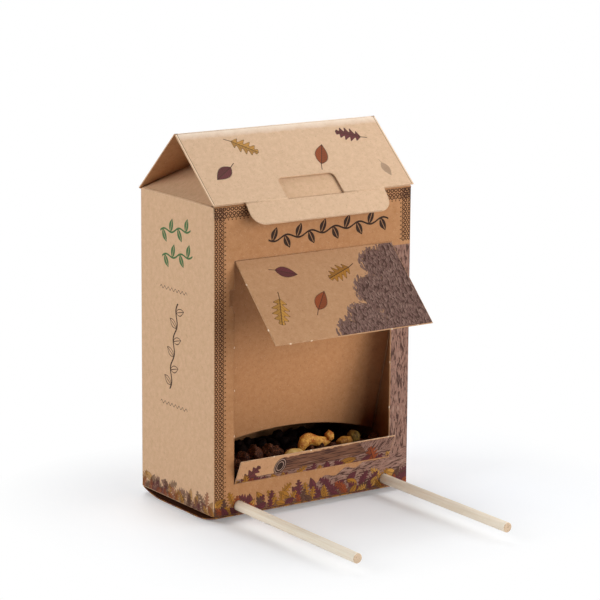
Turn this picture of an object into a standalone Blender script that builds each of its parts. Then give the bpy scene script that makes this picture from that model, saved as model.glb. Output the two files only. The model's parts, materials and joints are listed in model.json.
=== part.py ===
# Wildlife feeder: a folded board carton with a gabled lid, a feeding window, a sloping hopper
# divider, two wooden perch rods and loose feed. Metres, +Z up. The origin is on the floor under
# the middle of the carton, and the feeding window faces -Y.
import bpy
import bmesh
from math import asin, atan2, cos, hypot, pi, radians, sin, tan
from mathutils import Euler, Matrix, Vector

# Carton body
CARTON_WIDTH = 0.140
CARTON_DEPTH = 0.082
WALL_HEIGHT = 0.1835
BOARD = 0.0008
FOLD_GAP = 0.0003
SEAM_WIDTH = 0.012
SEAM_TOP_INSET = 0.004
SEAM_BOTTOM_INSET = 0.006

# Bottom closure, which bulges below the walls and is what the carton stands on
BOTTOM_DROP = 0.0048
BOTTOM_FLAT_LENGTH = 0.040
SIDE_FLAP_LENGTH = 0.030
SIDE_FLAP_INSET = 0.004
TUCK_WIDTH = 0.092
TUCK_HEIGHT = 0.016

# Feeding window and its flaps, with heights above the bottom edge of the walls
WINDOW_WIDTH = 0.112
AWNING_CREASE_HEIGHT = 0.1514
AWNING_LENGTH = 0.0593
AWNING_OPEN_ANGLE = radians(45.7)
LIP_CREASE_HEIGHT = 0.018
LIP_LENGTH = 0.0162
LIP_LEAN = radians(25.5)
FLAP_SIDE_GAP = 0.0005
NOTCH_HEIGHT = 0.1248
NOTCH_LENGTH = 0.0096
NOTCH_DEPTH = 0.0032
NOTCH_TAIL = 0.0042

# Lid
ROOF_RISE = 0.038
ROOF_SIDE_OVERHANG = 0.0012
LAYER_GAP = 0.0007
INNER_LEAF_LENGTH = 0.0535
INNER_LEAF_CORNER = 0.002
TONGUE_WIDTH = 0.098
TONGUE_LENGTH = 0.0152
TONGUE_CORNER = 0.0085
TONGUE_ANGLE = radians(39)
FINGER_CUT_WIDTH = 0.040
FINGER_CUT_LENGTH = 0.0155
FINGER_CUT_CORNER = 0.0035
GABLE_FLAP_LENGTH = 0.032
GABLE_FLAP_LEAN = radians(62)
GABLE_FLAP_ROOT_INSET = 0.0029

# Hopper divider. Its crown height is above the bottom edge of the walls
DIVIDER_TOP_INSET = 0.0235
DIVIDER_CROWN_HEIGHT = 0.0385
DIVIDER_CROWN_INSET = 0.031
DIVIDER_ARCH_RISE = 0.0122
DIVIDER_FLANGE_HEIGHT = 0.012
DIVIDER_FLANGE_INSET = 0.010
DIVIDER_TAB_WIDTH = 0.009
DIVIDER_TAB_INSET = 0.005

# Perch rods
ROD_DIAMETER = 0.006
ROD_CLEARANCE = 0.0003
ROD_SIDE_INSET = 0.0173
ROD_HEIGHT = 0.0046
ROD_LENGTH = 0.220
ROD_FRONT_REACH = 0.120
ROD_CHAMFER = 0.0003

# Feed
FEED_HEIGHT = 0.0272
FEED_FRONT_HEIGHT = 0.0212
FEED_SLOPE_LENGTH = 0.009
FEED_WALL_GAP = 0.0004
NUGGET_SIZE = 0.0092
NUGGET_OVERLAP = 0.0004
NUGGET_SIDE_ROOM = 0.005
NUGGET_ROWS = 3
NUGGET_PILE_RISE = 0.0065
NUGGET_UNEVEN_RATIO = 0.12
NUGGET_FLAT_RATIO = 0.9
BOWED_NUT_LENGTH = 0.027
BOWED_NUT_THICKNESS = 0.0084
BOWED_NUT_BOW = 0.0035
BOWED_NUT_PLACE = (0.0115, 0.0135)
PALE_NUT_LENGTH = 0.016
PALE_NUT_THICKNESS = 0.0068
PALE_NUT_BOW = 0.001
PALE_NUT_PLACE = (-0.0100, 0.0050)

# Places worked out from the sizes above
HALF_WIDTH = CARTON_WIDTH / 2
HALF_DEPTH = CARTON_DEPTH / 2
WALL_BOTTOM = BOTTOM_DROP
WALL_TOP = WALL_BOTTOM + WALL_HEIGHT
RIDGE = WALL_TOP + ROOF_RISE
INNER_HALF_WIDTH = HALF_WIDTH - BOARD
INNER_HALF_DEPTH = HALF_DEPTH - BOARD
LINER_HALF_WIDTH = INNER_HALF_WIDTH - FOLD_GAP - BOARD
ROD_SPACING = CARTON_WIDTH - 2 * ROD_SIDE_INSET
DIVIDER_TOP_HEIGHT = WALL_HEIGHT - DIVIDER_TOP_INSET
FEED_HALF_WIDTH = LINER_HALF_WIDTH - FEED_WALL_GAP
NUGGET_PITCH = NUGGET_SIZE - NUGGET_OVERLAP
ROW_SHIFT = 0.45
LUMP_TIP = (radians(17), radians(11))
BACK_PITCH = atan2(ROOF_RISE, HALF_DEPTH)
FRONT_PITCH = atan2(ROOF_RISE, INNER_HALF_DEPTH) - asin(
    (2 * BOARD + LAYER_GAP) / hypot(ROOF_RISE, INNER_HALF_DEPTH)
)
DOWN = radians(270)
UP = radians(90)
ARC_STEP = radians(9)

KRAFT = (0.58, 0.40, 0.25)
FEED = (0.10, 0.055, 0.03)
NUT = (0.62, 0.36, 0.12)
PALE_NUT = (0.78, 0.62, 0.36)


def clear_scene():
    for obj in list(bpy.data.objects):
        bpy.data.objects.remove(obj, do_unlink=True)


def make_collection(name):
    collection = bpy.data.collections.new(name)
    bpy.context.scene.collection.children.link(collection)
    return collection


def make_material(name, color, roughness):
    material = bpy.data.materials.new(name)
    material.use_nodes = True
    shader = material.node_tree.nodes["Principled BSDF"]
    shader.inputs["Base Color"].default_value = (*color, 1)
    shader.inputs["Roughness"].default_value = roughness
    shader.inputs["Metallic"].default_value = 0
    return material


clear_scene()
PARTS = make_collection("wildlife_feeder")
CUTTERS = make_collection("cutters")
CUTTERS.hide_render = True


def finish(obj, color, roughness):
    """Gives a piece its own material and puts it among the parts."""
    obj.data.materials.append(make_material(obj.name, color, roughness))
    PARTS.objects.link(obj)
    return obj


def crease(name, place, turn):
    """An empty on a fold line. Its X runs along the fold and its Y along the board that folds there."""
    empty = bpy.data.objects.new(name, None)
    empty.empty_display_size = 0.01
    empty.location = place
    empty.rotation_euler = turn
    PARTS.objects.link(empty)
    return empty


def arc(center, radius, start, end):
    """Points on an arc from one angle to another, both ends included."""
    steps = max(2, round(abs(end - start) / ARC_STEP))
    angles = [start + (end - start) * i / steps for i in range(steps + 1)]
    return [(center[0] + radius * cos(a), center[1] + radius * sin(a)) for a in angles]


def rectangle(left, bottom, right, top):
    return [(left, bottom), (right, bottom), (right, top), (left, top)]


def die_cut(name, outlines, thickness, color=KRAFT, roughness=0.85):
    """A flat piece of board: the first outline is its edge and the others are holes in it."""
    curve = bpy.data.curves.new(name, "CURVE")
    curve.dimensions = "2D"
    curve.fill_mode = "BOTH"
    curve.extrude = thickness / 2
    for outline in outlines:
        spline = curve.splines.new("POLY")
        spline.points.add(len(outline) - 1)
        for point, (x, y) in zip(spline.points, outline):
            point.co = (x, y, 0, 1)
        spline.use_cyclic_u = True
    return finish(bpy.data.objects.new(name, curve), color, roughness)


def fix_to(piece, parent, across=0.0, along=0.0, outward=0.0):
    piece.parent = parent
    piece.location = (across, along, outward)
    return piece


def relief(bend):
    """How far each board stays short of a fold line on its outer face, to clear the other one."""
    return (BOARD * sin(bend) + FOLD_GAP) / (1 + cos(bend))


def add_cutter(mesh, collection=CUTTERS):
    cutter = bpy.data.objects.new(mesh.name, mesh)
    cutter.hide_render = True
    cutter.display_type = "WIRE"
    collection.objects.link(cutter)
    return cutter


def shape_with(piece, cutter, operation):
    modifier = piece.modifiers.new(cutter.name, "BOOLEAN")
    modifier.operation = operation
    modifier.object = cutter


def rod_hole(x):
    return arc((x, ROD_HEIGHT), ROD_DIAMETER / 2 + ROD_CLEARANCE, 0, 2 * pi)[:-1]


def bottom_height(y):
    """Height of the bottom panel's lower face: flat in the middle and rising to both ends."""
    flat = BOTTOM_FLAT_LENGTH / 2
    rise = BOTTOM_DROP - FOLD_GAP - BOARD
    return rise * (max(0, abs(y) - flat) / (HALF_DEPTH - flat)) ** 2


def bottom_line(start, end, lift):
    steps = 24
    ys = [start + (end - start) * i / steps for i in range(steps + 1)]
    return [(y, bottom_height(y) + lift) for y in ys]


def front_panel():
    edge = WINDOW_WIDTH / 2
    slot = edge + NOTCH_DEPTH
    notch_top = NOTCH_HEIGHT + NOTCH_LENGTH
    right = [
        (edge, LIP_CREASE_HEIGHT),
        (edge, NOTCH_HEIGHT - NOTCH_TAIL),
        (edge + NOTCH_DEPTH / 2, NOTCH_HEIGHT),
        (slot, NOTCH_HEIGHT),
        (slot, notch_top),
        (edge, notch_top),
        (edge, AWNING_CREASE_HEIGHT),
    ]
    window = right + [(-x, z) for x, z in reversed(right)]
    sheet = rectangle(-HALF_WIDTH, 0, HALF_WIDTH, WALL_HEIGHT - FOLD_GAP / 2)
    holes = [rod_hole(-ROD_SPACING / 2), rod_hole(ROD_SPACING / 2)]
    panel = die_cut("front_panel", [sheet, window, *holes], BOARD)
    corner = crease("front_wall", (0, -HALF_DEPTH, WALL_BOTTOM), (UP, 0, 0))
    fix_to(panel, corner, outward=-BOARD / 2)


def back_panel():
    top = WALL_HEIGHT - relief(pi / 2 - BACK_PITCH)
    sheet = rectangle(-HALF_WIDTH, 0, HALF_WIDTH, top)
    holes = [rod_hole(-ROD_SPACING / 2), rod_hole(ROD_SPACING / 2)]
    panel = die_cut("back_panel", [sheet, *holes], BOARD)
    corner = crease("back_wall", (0, HALF_DEPTH, WALL_BOTTOM), (UP, 0, 0))
    fix_to(panel, corner, outward=BOARD / 2)


def side_panels():
    reach = INNER_HALF_DEPTH - FOLD_GAP
    for name, side in (("left", -1), ("right", 1)):
        sheet = rectangle(-reach, 0, reach, WALL_HEIGHT - FOLD_GAP / 2)
        panel = die_cut(f"{name}_panel", [sheet], BOARD)
        wall = crease(f"{name}_wall", (side * HALF_WIDTH, 0, WALL_BOTTOM), (UP, 0, side * UP))
        fix_to(panel, wall, outward=-BOARD / 2)


def glue_seam():
    """The strip on the back panel's edge that is glued inside the left panel."""
    bottom = SEAM_BOTTOM_INSET
    back = INNER_HALF_DEPTH - FOLD_GAP
    top = WALL_HEIGHT - SEAM_TOP_INSET
    sheet = [
        (back, bottom),
        (back, top),
        (back - SEAM_WIDTH, top - SEAM_WIDTH / 4),
        (back - SEAM_WIDTH, bottom + SEAM_WIDTH / 4),
    ]
    flap = die_cut("glue_flap", [sheet], BOARD)
    wall = crease("glue_seam", (FOLD_GAP - INNER_HALF_WIDTH, 0, WALL_BOTTOM), (UP, 0, UP))
    fix_to(flap, wall, outward=BOARD / 2)


def bottom_closure():
    front, back = -HALF_DEPTH, HALF_DEPTH - FOLD_GAP
    sheet = bottom_line(front, back, 0) + list(reversed(bottom_line(front, back, BOARD)))
    width = 2 * (INNER_HALF_WIDTH - FOLD_GAP)
    panel = die_cut("bottom_panel", [sheet], width)
    panel.rotation_euler = (UP, 0, UP)

    end = INNER_HALF_DEPTH - SIDE_FLAP_INSET
    start = relief(UP)
    tip = start + SIDE_FLAP_LENGTH
    outline = [(-end, start), (end, start), (end - SIDE_FLAP_INSET, tip), (SIDE_FLAP_INSET - end, tip)]
    for name, side in (("left", -1), ("right", 1)):
        flap = die_cut(f"bottom_side_flap_{name}", [outline], BOARD)
        place = (side * HALF_WIDTH, 0, WALL_BOTTOM)
        hinge = crease(f"bottom_side_crease_{name}", place, (0, 0, side * UP))
        fix_to(flap, hinge, outward=BOARD / 2)

    half = TUCK_WIDTH / 2
    foot = bottom_height(INNER_HALF_DEPTH) + BOARD + FOLD_GAP
    tuck_top = WALL_BOTTOM + TUCK_HEIGHT
    corner = TUCK_HEIGHT / 3
    outline = [(-half, foot), (half, foot)]
    outline += arc((half - corner, tuck_top - corner), corner, 0, UP)
    outline += arc((corner - half, tuck_top - corner), corner, UP, pi)
    tuck = die_cut("bottom_tuck_flap", [outline], BOARD)
    tuck.rotation_euler = (UP, 0, 0)
    tuck.location.y = INNER_HALF_DEPTH - FOLD_GAP - BOARD / 2


def awning():
    half = WINDOW_WIDTH / 2 - FLAP_SIDE_GAP
    flap = die_cut("awning_flap", [rectangle(-half, 0, half, AWNING_LENGTH)], BOARD)
    place = (0, -HALF_DEPTH, WALL_BOTTOM + AWNING_CREASE_HEIGHT)
    hinge = crease("awning_crease", place, (DOWN - AWNING_OPEN_ANGLE, 0, 0))
    fix_to(flap, hinge, along=FOLD_GAP, outward=BOARD / 2)


def lower_lip():
    half = WINDOW_WIDTH / 2 - FLAP_SIDE_GAP
    flap = die_cut("lower_lip", [rectangle(-half, 0, half, LIP_LENGTH)], BOARD)
    place = (0, -HALF_DEPTH, WALL_BOTTOM + LIP_CREASE_HEIGHT)
    hinge = crease("lip_crease", place, (UP + LIP_LEAN, 0, 0))
    fix_to(flap, hinge, along=FOLD_GAP, outward=-BOARD / 2)


def back_slope():
    half = HALF_WIDTH + ROOF_SIDE_OVERHANG
    start = relief(pi / 2 - BACK_PITCH)
    end = hypot(ROOF_RISE, HALF_DEPTH) - relief(BACK_PITCH + FRONT_PITCH)
    panel = die_cut("roof_back_panel", [rectangle(-half, start, half, end)], BOARD)
    hinge = crease("lid_crease", (0, HALF_DEPTH, WALL_TOP), (pi - BACK_PITCH, 0, 0))
    fix_to(panel, hinge, outward=BOARD / 2)


def eave_distance():
    """From the ridge down the front slope to the fold where the tongue starts. The tongue hangs
    from there clear of the front wall."""
    return (HALF_DEPTH + FOLD_GAP + BOARD) / cos(FRONT_PITCH)


def front_slope():
    half = HALF_WIDTH + ROOF_SIDE_OVERHANG
    start = relief(BACK_PITCH + FRONT_PITCH)
    end = eave_distance() - relief(pi / 2 - FRONT_PITCH)
    cut = FINGER_CUT_WIDTH / 2
    round_off = FINGER_CUT_CORNER
    cut_top = eave_distance() - FINGER_CUT_LENGTH
    sheet = [(-half, start), (half, start), (half, end), (cut, end)]
    sheet += arc((cut - round_off, cut_top + round_off), round_off, 0, -UP)
    sheet += arc((round_off - cut, cut_top + round_off), round_off, -UP, -pi)
    sheet += [(-cut, end), (-half, end)]
    panel = die_cut("roof_front_panel", [sheet], BOARD)
    hinge = crease("ridge_crease", (0, 0, RIDGE), (pi + FRONT_PITCH, 0, 0))
    fix_to(panel, hinge, outward=BOARD / 2)


def tuck_tongue():
    half = TONGUE_WIDTH / 2
    corner = TONGUE_CORNER
    start = relief(pi / 2 - FRONT_PITCH)
    outline = [(half, start), (half, TONGUE_LENGTH - corner)]
    outline += arc((half - corner, TONGUE_LENGTH - corner), corner, 0, UP)[1:]
    outline += arc((corner - half, TONGUE_LENGTH - corner), corner, UP, pi)
    outline += [(-half, start)]
    tongue = die_cut("roof_tuck_tongue", [outline], BOARD)
    eave = eave_distance()
    place = (0, -eave * cos(FRONT_PITCH), RIDGE - eave * sin(FRONT_PITCH))
    hinge = crease("tongue_crease", place, (DOWN - TONGUE_ANGLE, 0, 0))
    fix_to(tongue, hinge, outward=BOARD / 2)


def inner_roof_leaf():
    half = HALF_WIDTH - FOLD_GAP
    corner = INNER_LEAF_CORNER
    start = FOLD_GAP / 2
    sheet = [(-half, start), (half, start), (half, INNER_LEAF_LENGTH - corner)]
    sheet += [(half - corner, INNER_LEAF_LENGTH), (corner - half, INNER_LEAF_LENGTH)]
    sheet += [(-half, INNER_LEAF_LENGTH - corner)]
    panel = die_cut("inner_roof_leaf", [sheet], BOARD)
    hinge = crease("inner_leaf_crease", (0, -INNER_HALF_DEPTH, WALL_TOP), (FRONT_PITCH, 0, 0))
    fix_to(panel, hinge, outward=BOARD / 2)


def gable_flaps():
    """Flaps on top of the side walls, leaning in under the lid, with edges cut to the roof slopes."""
    end = GABLE_FLAP_LENGTH
    start = FOLD_GAP / 2
    tip = end * cos(GABLE_FLAP_LEAN) + BOARD * sin(GABLE_FLAP_LEAN)
    root = start * cos(GABLE_FLAP_LEAN) + BOARD * sin(GABLE_FLAP_LEAN)
    front_root = GABLE_FLAP_ROOT_INSET - INNER_HALF_DEPTH
    front_tip = -INNER_HALF_DEPTH + tip / tan(FRONT_PITCH) + FOLD_GAP / sin(FRONT_PITCH)
    under_back = (BOARD + FOLD_GAP) / sin(BACK_PITCH)
    back_root = HALF_DEPTH - root / tan(BACK_PITCH) - under_back
    back_tip = HALF_DEPTH - tip / tan(BACK_PITCH) - under_back
    for name, side in (("left", -1), ("right", 1)):
        outline = [(front_root, start), (back_root, start), (back_tip, end), (front_tip, end)]
        outline = [(side * y, s) for y, s in outline]
        flap = die_cut(f"gable_flap_{name}", [outline], BOARD)
        place = (side * INNER_HALF_WIDTH, 0, WALL_TOP)
        hinge = crease(f"gable_crease_{name}", place, (UP - GABLE_FLAP_LEAN, 0, side * UP))
        fix_to(flap, hinge, outward=BOARD / 2)


def divider_slope():
    """The divider's lean from upright and the length of its face from top fold to crown."""
    depth = DIVIDER_CROWN_INSET - BOARD - FOLD_GAP
    drop = DIVIDER_TOP_HEIGHT - DIVIDER_CROWN_HEIGHT
    return atan2(depth, drop), hypot(depth, drop)


def hopper_divider():
    lean, face = divider_slope()
    half = LINER_HALF_WIDTH - FOLD_GAP
    front = -INNER_HALF_DEPTH + FOLD_GAP
    top = WALL_BOTTOM + DIVIDER_TOP_HEIGHT
    fold = crease("divider_fold", (0, front, top), (DOWN + lean, 0, 0))
    radius = (half**2 + DIVIDER_ARCH_RISE**2) / (2 * DIVIDER_ARCH_RISE)
    spread = asin(half / radius)
    start = relief(lean)
    outline = [(half, start)]
    outline += [
        (radius * sin(spread * k), face + radius * (1 - cos(spread * k)))
        for k in [1 - i / 12 for i in range(25)]
    ]
    outline += [(-half, start)]
    fix_to(die_cut("hopper_divider", [outline], BOARD), fold, outward=BOARD / 2)

    half_flange = half - DIVIDER_FLANGE_INSET
    flange_outline = rectangle(-half_flange, start, half_flange, DIVIDER_FLANGE_HEIGHT)
    flange = die_cut("divider_flange", [flange_outline], BOARD)
    seat = crease("divider_glue_line", (0, front, top), (UP, 0, 0))
    fix_to(flange, seat, outward=-BOARD / 2)

    foot = face + DIVIDER_ARCH_RISE - DIVIDER_TAB_INSET
    width = DIVIDER_TAB_WIDTH
    tab_outline = [(0, DIVIDER_TAB_INSET), (0, foot), (width, foot - width / 2)]
    tab_outline += [(width, DIVIDER_TAB_INSET + width)]
    for name, side in (("left", -1), ("right", 1)):
        tab = die_cut(f"divider_tab_{name}", [tab_outline], BOARD)
        tab.parent = fold
        tab.rotation_euler = (0, -UP, 0)
        tab.location = (side * (LINER_HALF_WIDTH + BOARD / 2), 0, 0)


def perch_rods():
    for name, side in (("left", -1), ("right", 1)):
        mesh = bpy.data.meshes.new(f"perch_rod_{name}")
        shape = bmesh.new()
        bmesh.ops.create_cone(
            shape,
            cap_ends=True,
            segments=32,
            radius1=ROD_DIAMETER / 2,
            radius2=ROD_DIAMETER / 2,
            depth=ROD_LENGTH,
            matrix=Matrix.Rotation(UP, 4, "X"),
        )
        rims = [e for e in shape.edges if all(abs(v.co.y) > ROD_LENGTH / 4 for v in e.verts)]
        rims = [e for e in rims if abs(e.verts[0].co.y - e.verts[1].co.y) < FOLD_GAP]
        chamfer = {"offset": ROD_CHAMFER, "segments": 1, "profile": 0.5, "affect": "EDGES"}
        bmesh.ops.bevel(shape, geom=rims, **chamfer)
        shape.to_mesh(mesh)
        shape.free()
        rod = finish(bpy.data.objects.new(mesh.name, mesh), (0.80, 0.66, 0.46), 0.6)
        middle = -HALF_DEPTH - ROD_FRONT_REACH + ROD_LENGTH / 2
        rod.location = (side * ROD_SPACING / 2, middle, WALL_BOTTOM + ROD_HEIGHT)


def feed_bed():
    """The heap of feed between the walls and on the bottom's side flaps, with a channel left open
    around each rod."""
    front = -INNER_HALF_DEPTH + FEED_WALL_GAP
    back = INNER_HALF_DEPTH - FOLD_GAP - BOARD - FEED_WALL_GAP
    outline = bottom_line(front, back, BOARD + FOLD_GAP)
    outline += [(back, FEED_HEIGHT), (front + FEED_SLOPE_LENGTH, FEED_HEIGHT), (front, FEED_FRONT_HEIGHT)]
    width = 2 * FEED_HALF_WIDTH
    heap = die_cut("feed_bed", [outline], width, FEED, 0.9)
    heap.rotation_euler = (UP, 0, UP)
    bpy.context.view_layer.update()
    graph = bpy.context.evaluated_depsgraph_get()
    mesh = bpy.data.meshes.new_from_object(heap.evaluated_get(graph))
    shape = bmesh.new()
    shape.from_mesh(mesh)
    bmesh.ops.remove_doubles(shape, verts=shape.verts, dist=0.00001)
    shape.to_mesh(mesh)
    shape.free()
    place = heap.matrix_world.copy()
    material = heap.data.materials[0]
    bpy.data.objects.remove(heap)
    bed = bpy.data.objects.new("feed_bed", mesh)
    bed.matrix_world = place
    mesh.materials.clear()
    mesh.materials.append(material)
    PARTS.objects.link(bed)

    channel_edge = ROD_SPACING / 2 - ROD_DIAMETER / 2 - FEED_WALL_GAP
    channel_top = WALL_BOTTOM + ROD_HEIGHT + ROD_DIAMETER / 2 + FEED_WALL_GAP
    flap_edge = HALF_WIDTH - relief(UP) - SIDE_FLAP_LENGTH - FEED_WALL_GAP
    flap_top = WALL_BOTTOM + BOARD + FEED_WALL_GAP
    union = bed.modifiers.new("lumps", "BOOLEAN")
    union.operation = "UNION"
    union.operand_type = "COLLECTION"
    union.collection = feed_lumps()
    rooms = [("rod_channel", channel_edge, channel_top), ("side_flap_room", flap_edge, flap_top)]
    for name, edge, top in rooms:
        for side_name, side in (("left", -1), ("right", 1)):
            box = bpy.data.meshes.new(f"{name}_{side_name}")
            shape = bmesh.new()
            size = Vector((CARTON_WIDTH, 2 * CARTON_DEPTH, 2 * top))
            middle = Vector((side * (edge + CARTON_WIDTH / 2), 0, 0))
            matrix = Matrix.LocRotScale(middle, None, size)
            bmesh.ops.create_cube(shape, size=1, matrix=matrix)
            shape.to_mesh(box)
            shape.free()
            shape_with(bed, add_cutter(box), "DIFFERENCE")


def nugget_places():
    """Rows of rough lumps along the front of the heap, as many as its width takes, piled higher
    towards the left."""
    widest = NUGGET_SIZE / 2 * (1 + NUGGET_UNEVEN_RATIO)
    half_row = (FEED_HALF_WIDTH - NUGGET_SIDE_ROOM - widest) / NUGGET_PITCH - ROW_SHIFT
    columns = int(2 * half_row) + 1
    for row in range(NUGGET_ROWS):
        for column in range(columns):
            x = (column - (columns - 1) / 2 + ROW_SHIFT * (row % 2)) * NUGGET_PITCH
            y = -INNER_HALF_DEPTH + FEED_SLOPE_LENGTH + (row + 0.5) * 0.8 * NUGGET_PITCH
            left_pile = max(0, min(1, -x / (4 * NUGGET_PITCH)))
            lift = NUGGET_PILE_RISE * left_pile * (1 - 0.3 * row)
            yield row, column, x, y, lift


def feed_lumps():
    """Lumps that each reach from half their height inside the heap up to the top of the pile."""
    lumps = bpy.data.collections.new("feed_lumps")
    CUTTERS.children.link(lumps)
    for row, column, x, y, lift in nugget_places():
        size = NUGGET_SIZE * (1 + NUGGET_UNEVEN_RATIO * sin(5 * column + 3 * row))
        height = size * (0.95 + 0.1 * cos(4 * column + row))
        scale = Vector((size, size * NUGGET_FLAT_RATIO, height + lift)) / 2
        turn = Euler((*LUMP_TIP, column * 1.3 + row)).to_quaternion()
        mesh = bpy.data.meshes.new(f"nugget_{row}_{column}")
        shape = bmesh.new()
        middle = Vector((x, y, FEED_HEIGHT + lift / 2))
        matrix = Matrix.LocRotScale(middle, turn, scale)
        bmesh.ops.create_icosphere(shape, subdivisions=2, radius=1, matrix=matrix)
        shape.to_mesh(mesh)
        shape.free()
        add_cutter(mesh, lumps)
    return lumps


def nut(name, place, length, thickness, bow, turn, color):
    """A shelled nut: a bowed tube with a waist and round ends."""
    curve = bpy.data.curves.new(name, "CURVE")
    curve.dimensions = "3D"
    curve.bevel_depth = 1
    curve.bevel_resolution = 2
    curve.use_fill_caps = True
    spline = curve.splines.new("POLY")
    rings = 12
    spline.points.add(rings)
    reach = length / 2 - thickness * 0.02
    for i, point in enumerate(spline.points):
        u = 2 * i / rings - 1
        u = sin(u * pi / 2)
        round_end = max(0.12, (1 - abs(u) ** 3.2)) ** 0.5
        waist = 1 - 0.16 * max(0, 1 - abs(3 * u))
        point.co = (reach * u, 0, -bow * u * u, 1)
        point.radius = thickness / 2 * round_end * waist
    obj = finish(bpy.data.objects.new(name, curve), color, 0.7)
    obj.location = place
    obj.rotation_euler = turn


def feed_nuts():
    """One bowed nut lies on the lumps and a small pale one lies in front of them."""
    lump_top = FEED_HEIGHT + NUGGET_SIZE * 0.58
    x, back = BOWED_NUT_PLACE
    seat = (x, back - INNER_HALF_DEPTH, lump_top + BOWED_NUT_THICKNESS * 0.58)
    sizes = (BOWED_NUT_LENGTH, BOWED_NUT_THICKNESS, BOWED_NUT_BOW)
    nut("nut_bowed", seat, *sizes, (0, 0.06, 0.12), NUT)
    x, back = PALE_NUT_PLACE
    seat = (x, back - INNER_HALF_DEPTH, FEED_HEIGHT + PALE_NUT_THICKNESS * 0.54)
    sizes = (PALE_NUT_LENGTH, PALE_NUT_THICKNESS, PALE_NUT_BOW)
    nut("nut_pale", seat, *sizes, (0, 0, 0.1), PALE_NUT)


front_panel()
back_panel()
side_panels()
glue_seam()
bottom_closure()
awning()
lower_lip()
back_slope()
front_slope()
tuck_tongue()
inner_roof_leaf()
gable_flaps()
hopper_divider()
perch_rods()
feed_bed()
feed_nuts()
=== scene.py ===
# Wildlife feeder: a folded kraft board carton with printed leaves, an awning, dowels and feed
import json
import random
from math import acos, atan2, cos, pi, radians, sin, tan

import bmesh
import bpy
from mathutils import Euler, Matrix, Vector, noise


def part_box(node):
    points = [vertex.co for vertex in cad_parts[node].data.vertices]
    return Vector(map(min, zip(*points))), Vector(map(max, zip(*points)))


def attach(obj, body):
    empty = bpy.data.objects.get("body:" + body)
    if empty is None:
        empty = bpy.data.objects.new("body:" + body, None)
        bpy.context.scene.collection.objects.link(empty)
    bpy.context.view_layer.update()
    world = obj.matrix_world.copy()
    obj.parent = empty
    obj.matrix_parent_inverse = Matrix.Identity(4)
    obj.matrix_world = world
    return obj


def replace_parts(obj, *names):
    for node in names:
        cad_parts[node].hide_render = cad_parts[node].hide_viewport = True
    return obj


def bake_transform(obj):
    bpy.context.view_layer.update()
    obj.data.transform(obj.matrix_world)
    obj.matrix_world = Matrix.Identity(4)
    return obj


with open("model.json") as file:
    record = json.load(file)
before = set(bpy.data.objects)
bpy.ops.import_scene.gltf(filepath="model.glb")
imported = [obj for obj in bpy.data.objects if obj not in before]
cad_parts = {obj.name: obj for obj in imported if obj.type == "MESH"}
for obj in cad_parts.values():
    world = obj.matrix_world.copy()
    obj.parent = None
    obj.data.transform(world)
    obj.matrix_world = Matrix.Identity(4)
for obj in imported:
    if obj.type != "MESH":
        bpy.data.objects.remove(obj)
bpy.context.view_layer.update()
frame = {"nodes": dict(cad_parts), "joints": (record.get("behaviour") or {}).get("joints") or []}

joints = {joint["name"]: joint for joint in frame["joints"]}
random.seed(11)


# Shader maths

class Signal:
    # a value on its way between two shader nodes; each operator adds its Math node
    def __init__(self, paint, socket):
        self.paint = paint
        self.socket = socket

    def __add__(self, other):
        return self.paint.math("ADD", self, other)

    def __sub__(self, other):
        return self.paint.math("SUBTRACT", self, other)

    def __rsub__(self, other):
        return self.paint.math("SUBTRACT", other, self)

    def __mul__(self, other):
        return self.paint.math("MULTIPLY", self, other)

    def __truediv__(self, other):
        return self.paint.math("DIVIDE", self, other)

    def __mod__(self, other):
        return self.paint.math("FLOORED_MODULO", self, other)

    def __pow__(self, other):
        return self.paint.math("POWER", self, other)

    def __abs__(self):
        return self.paint.math("ABSOLUTE", self)

    def __lt__(self, other):
        return self.paint.math("LESS_THAN", self, other)

    def __gt__(self, other):
        return self.paint.math("GREATER_THAN", self, other)

    __radd__ = __add__
    __rmul__ = __mul__


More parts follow.
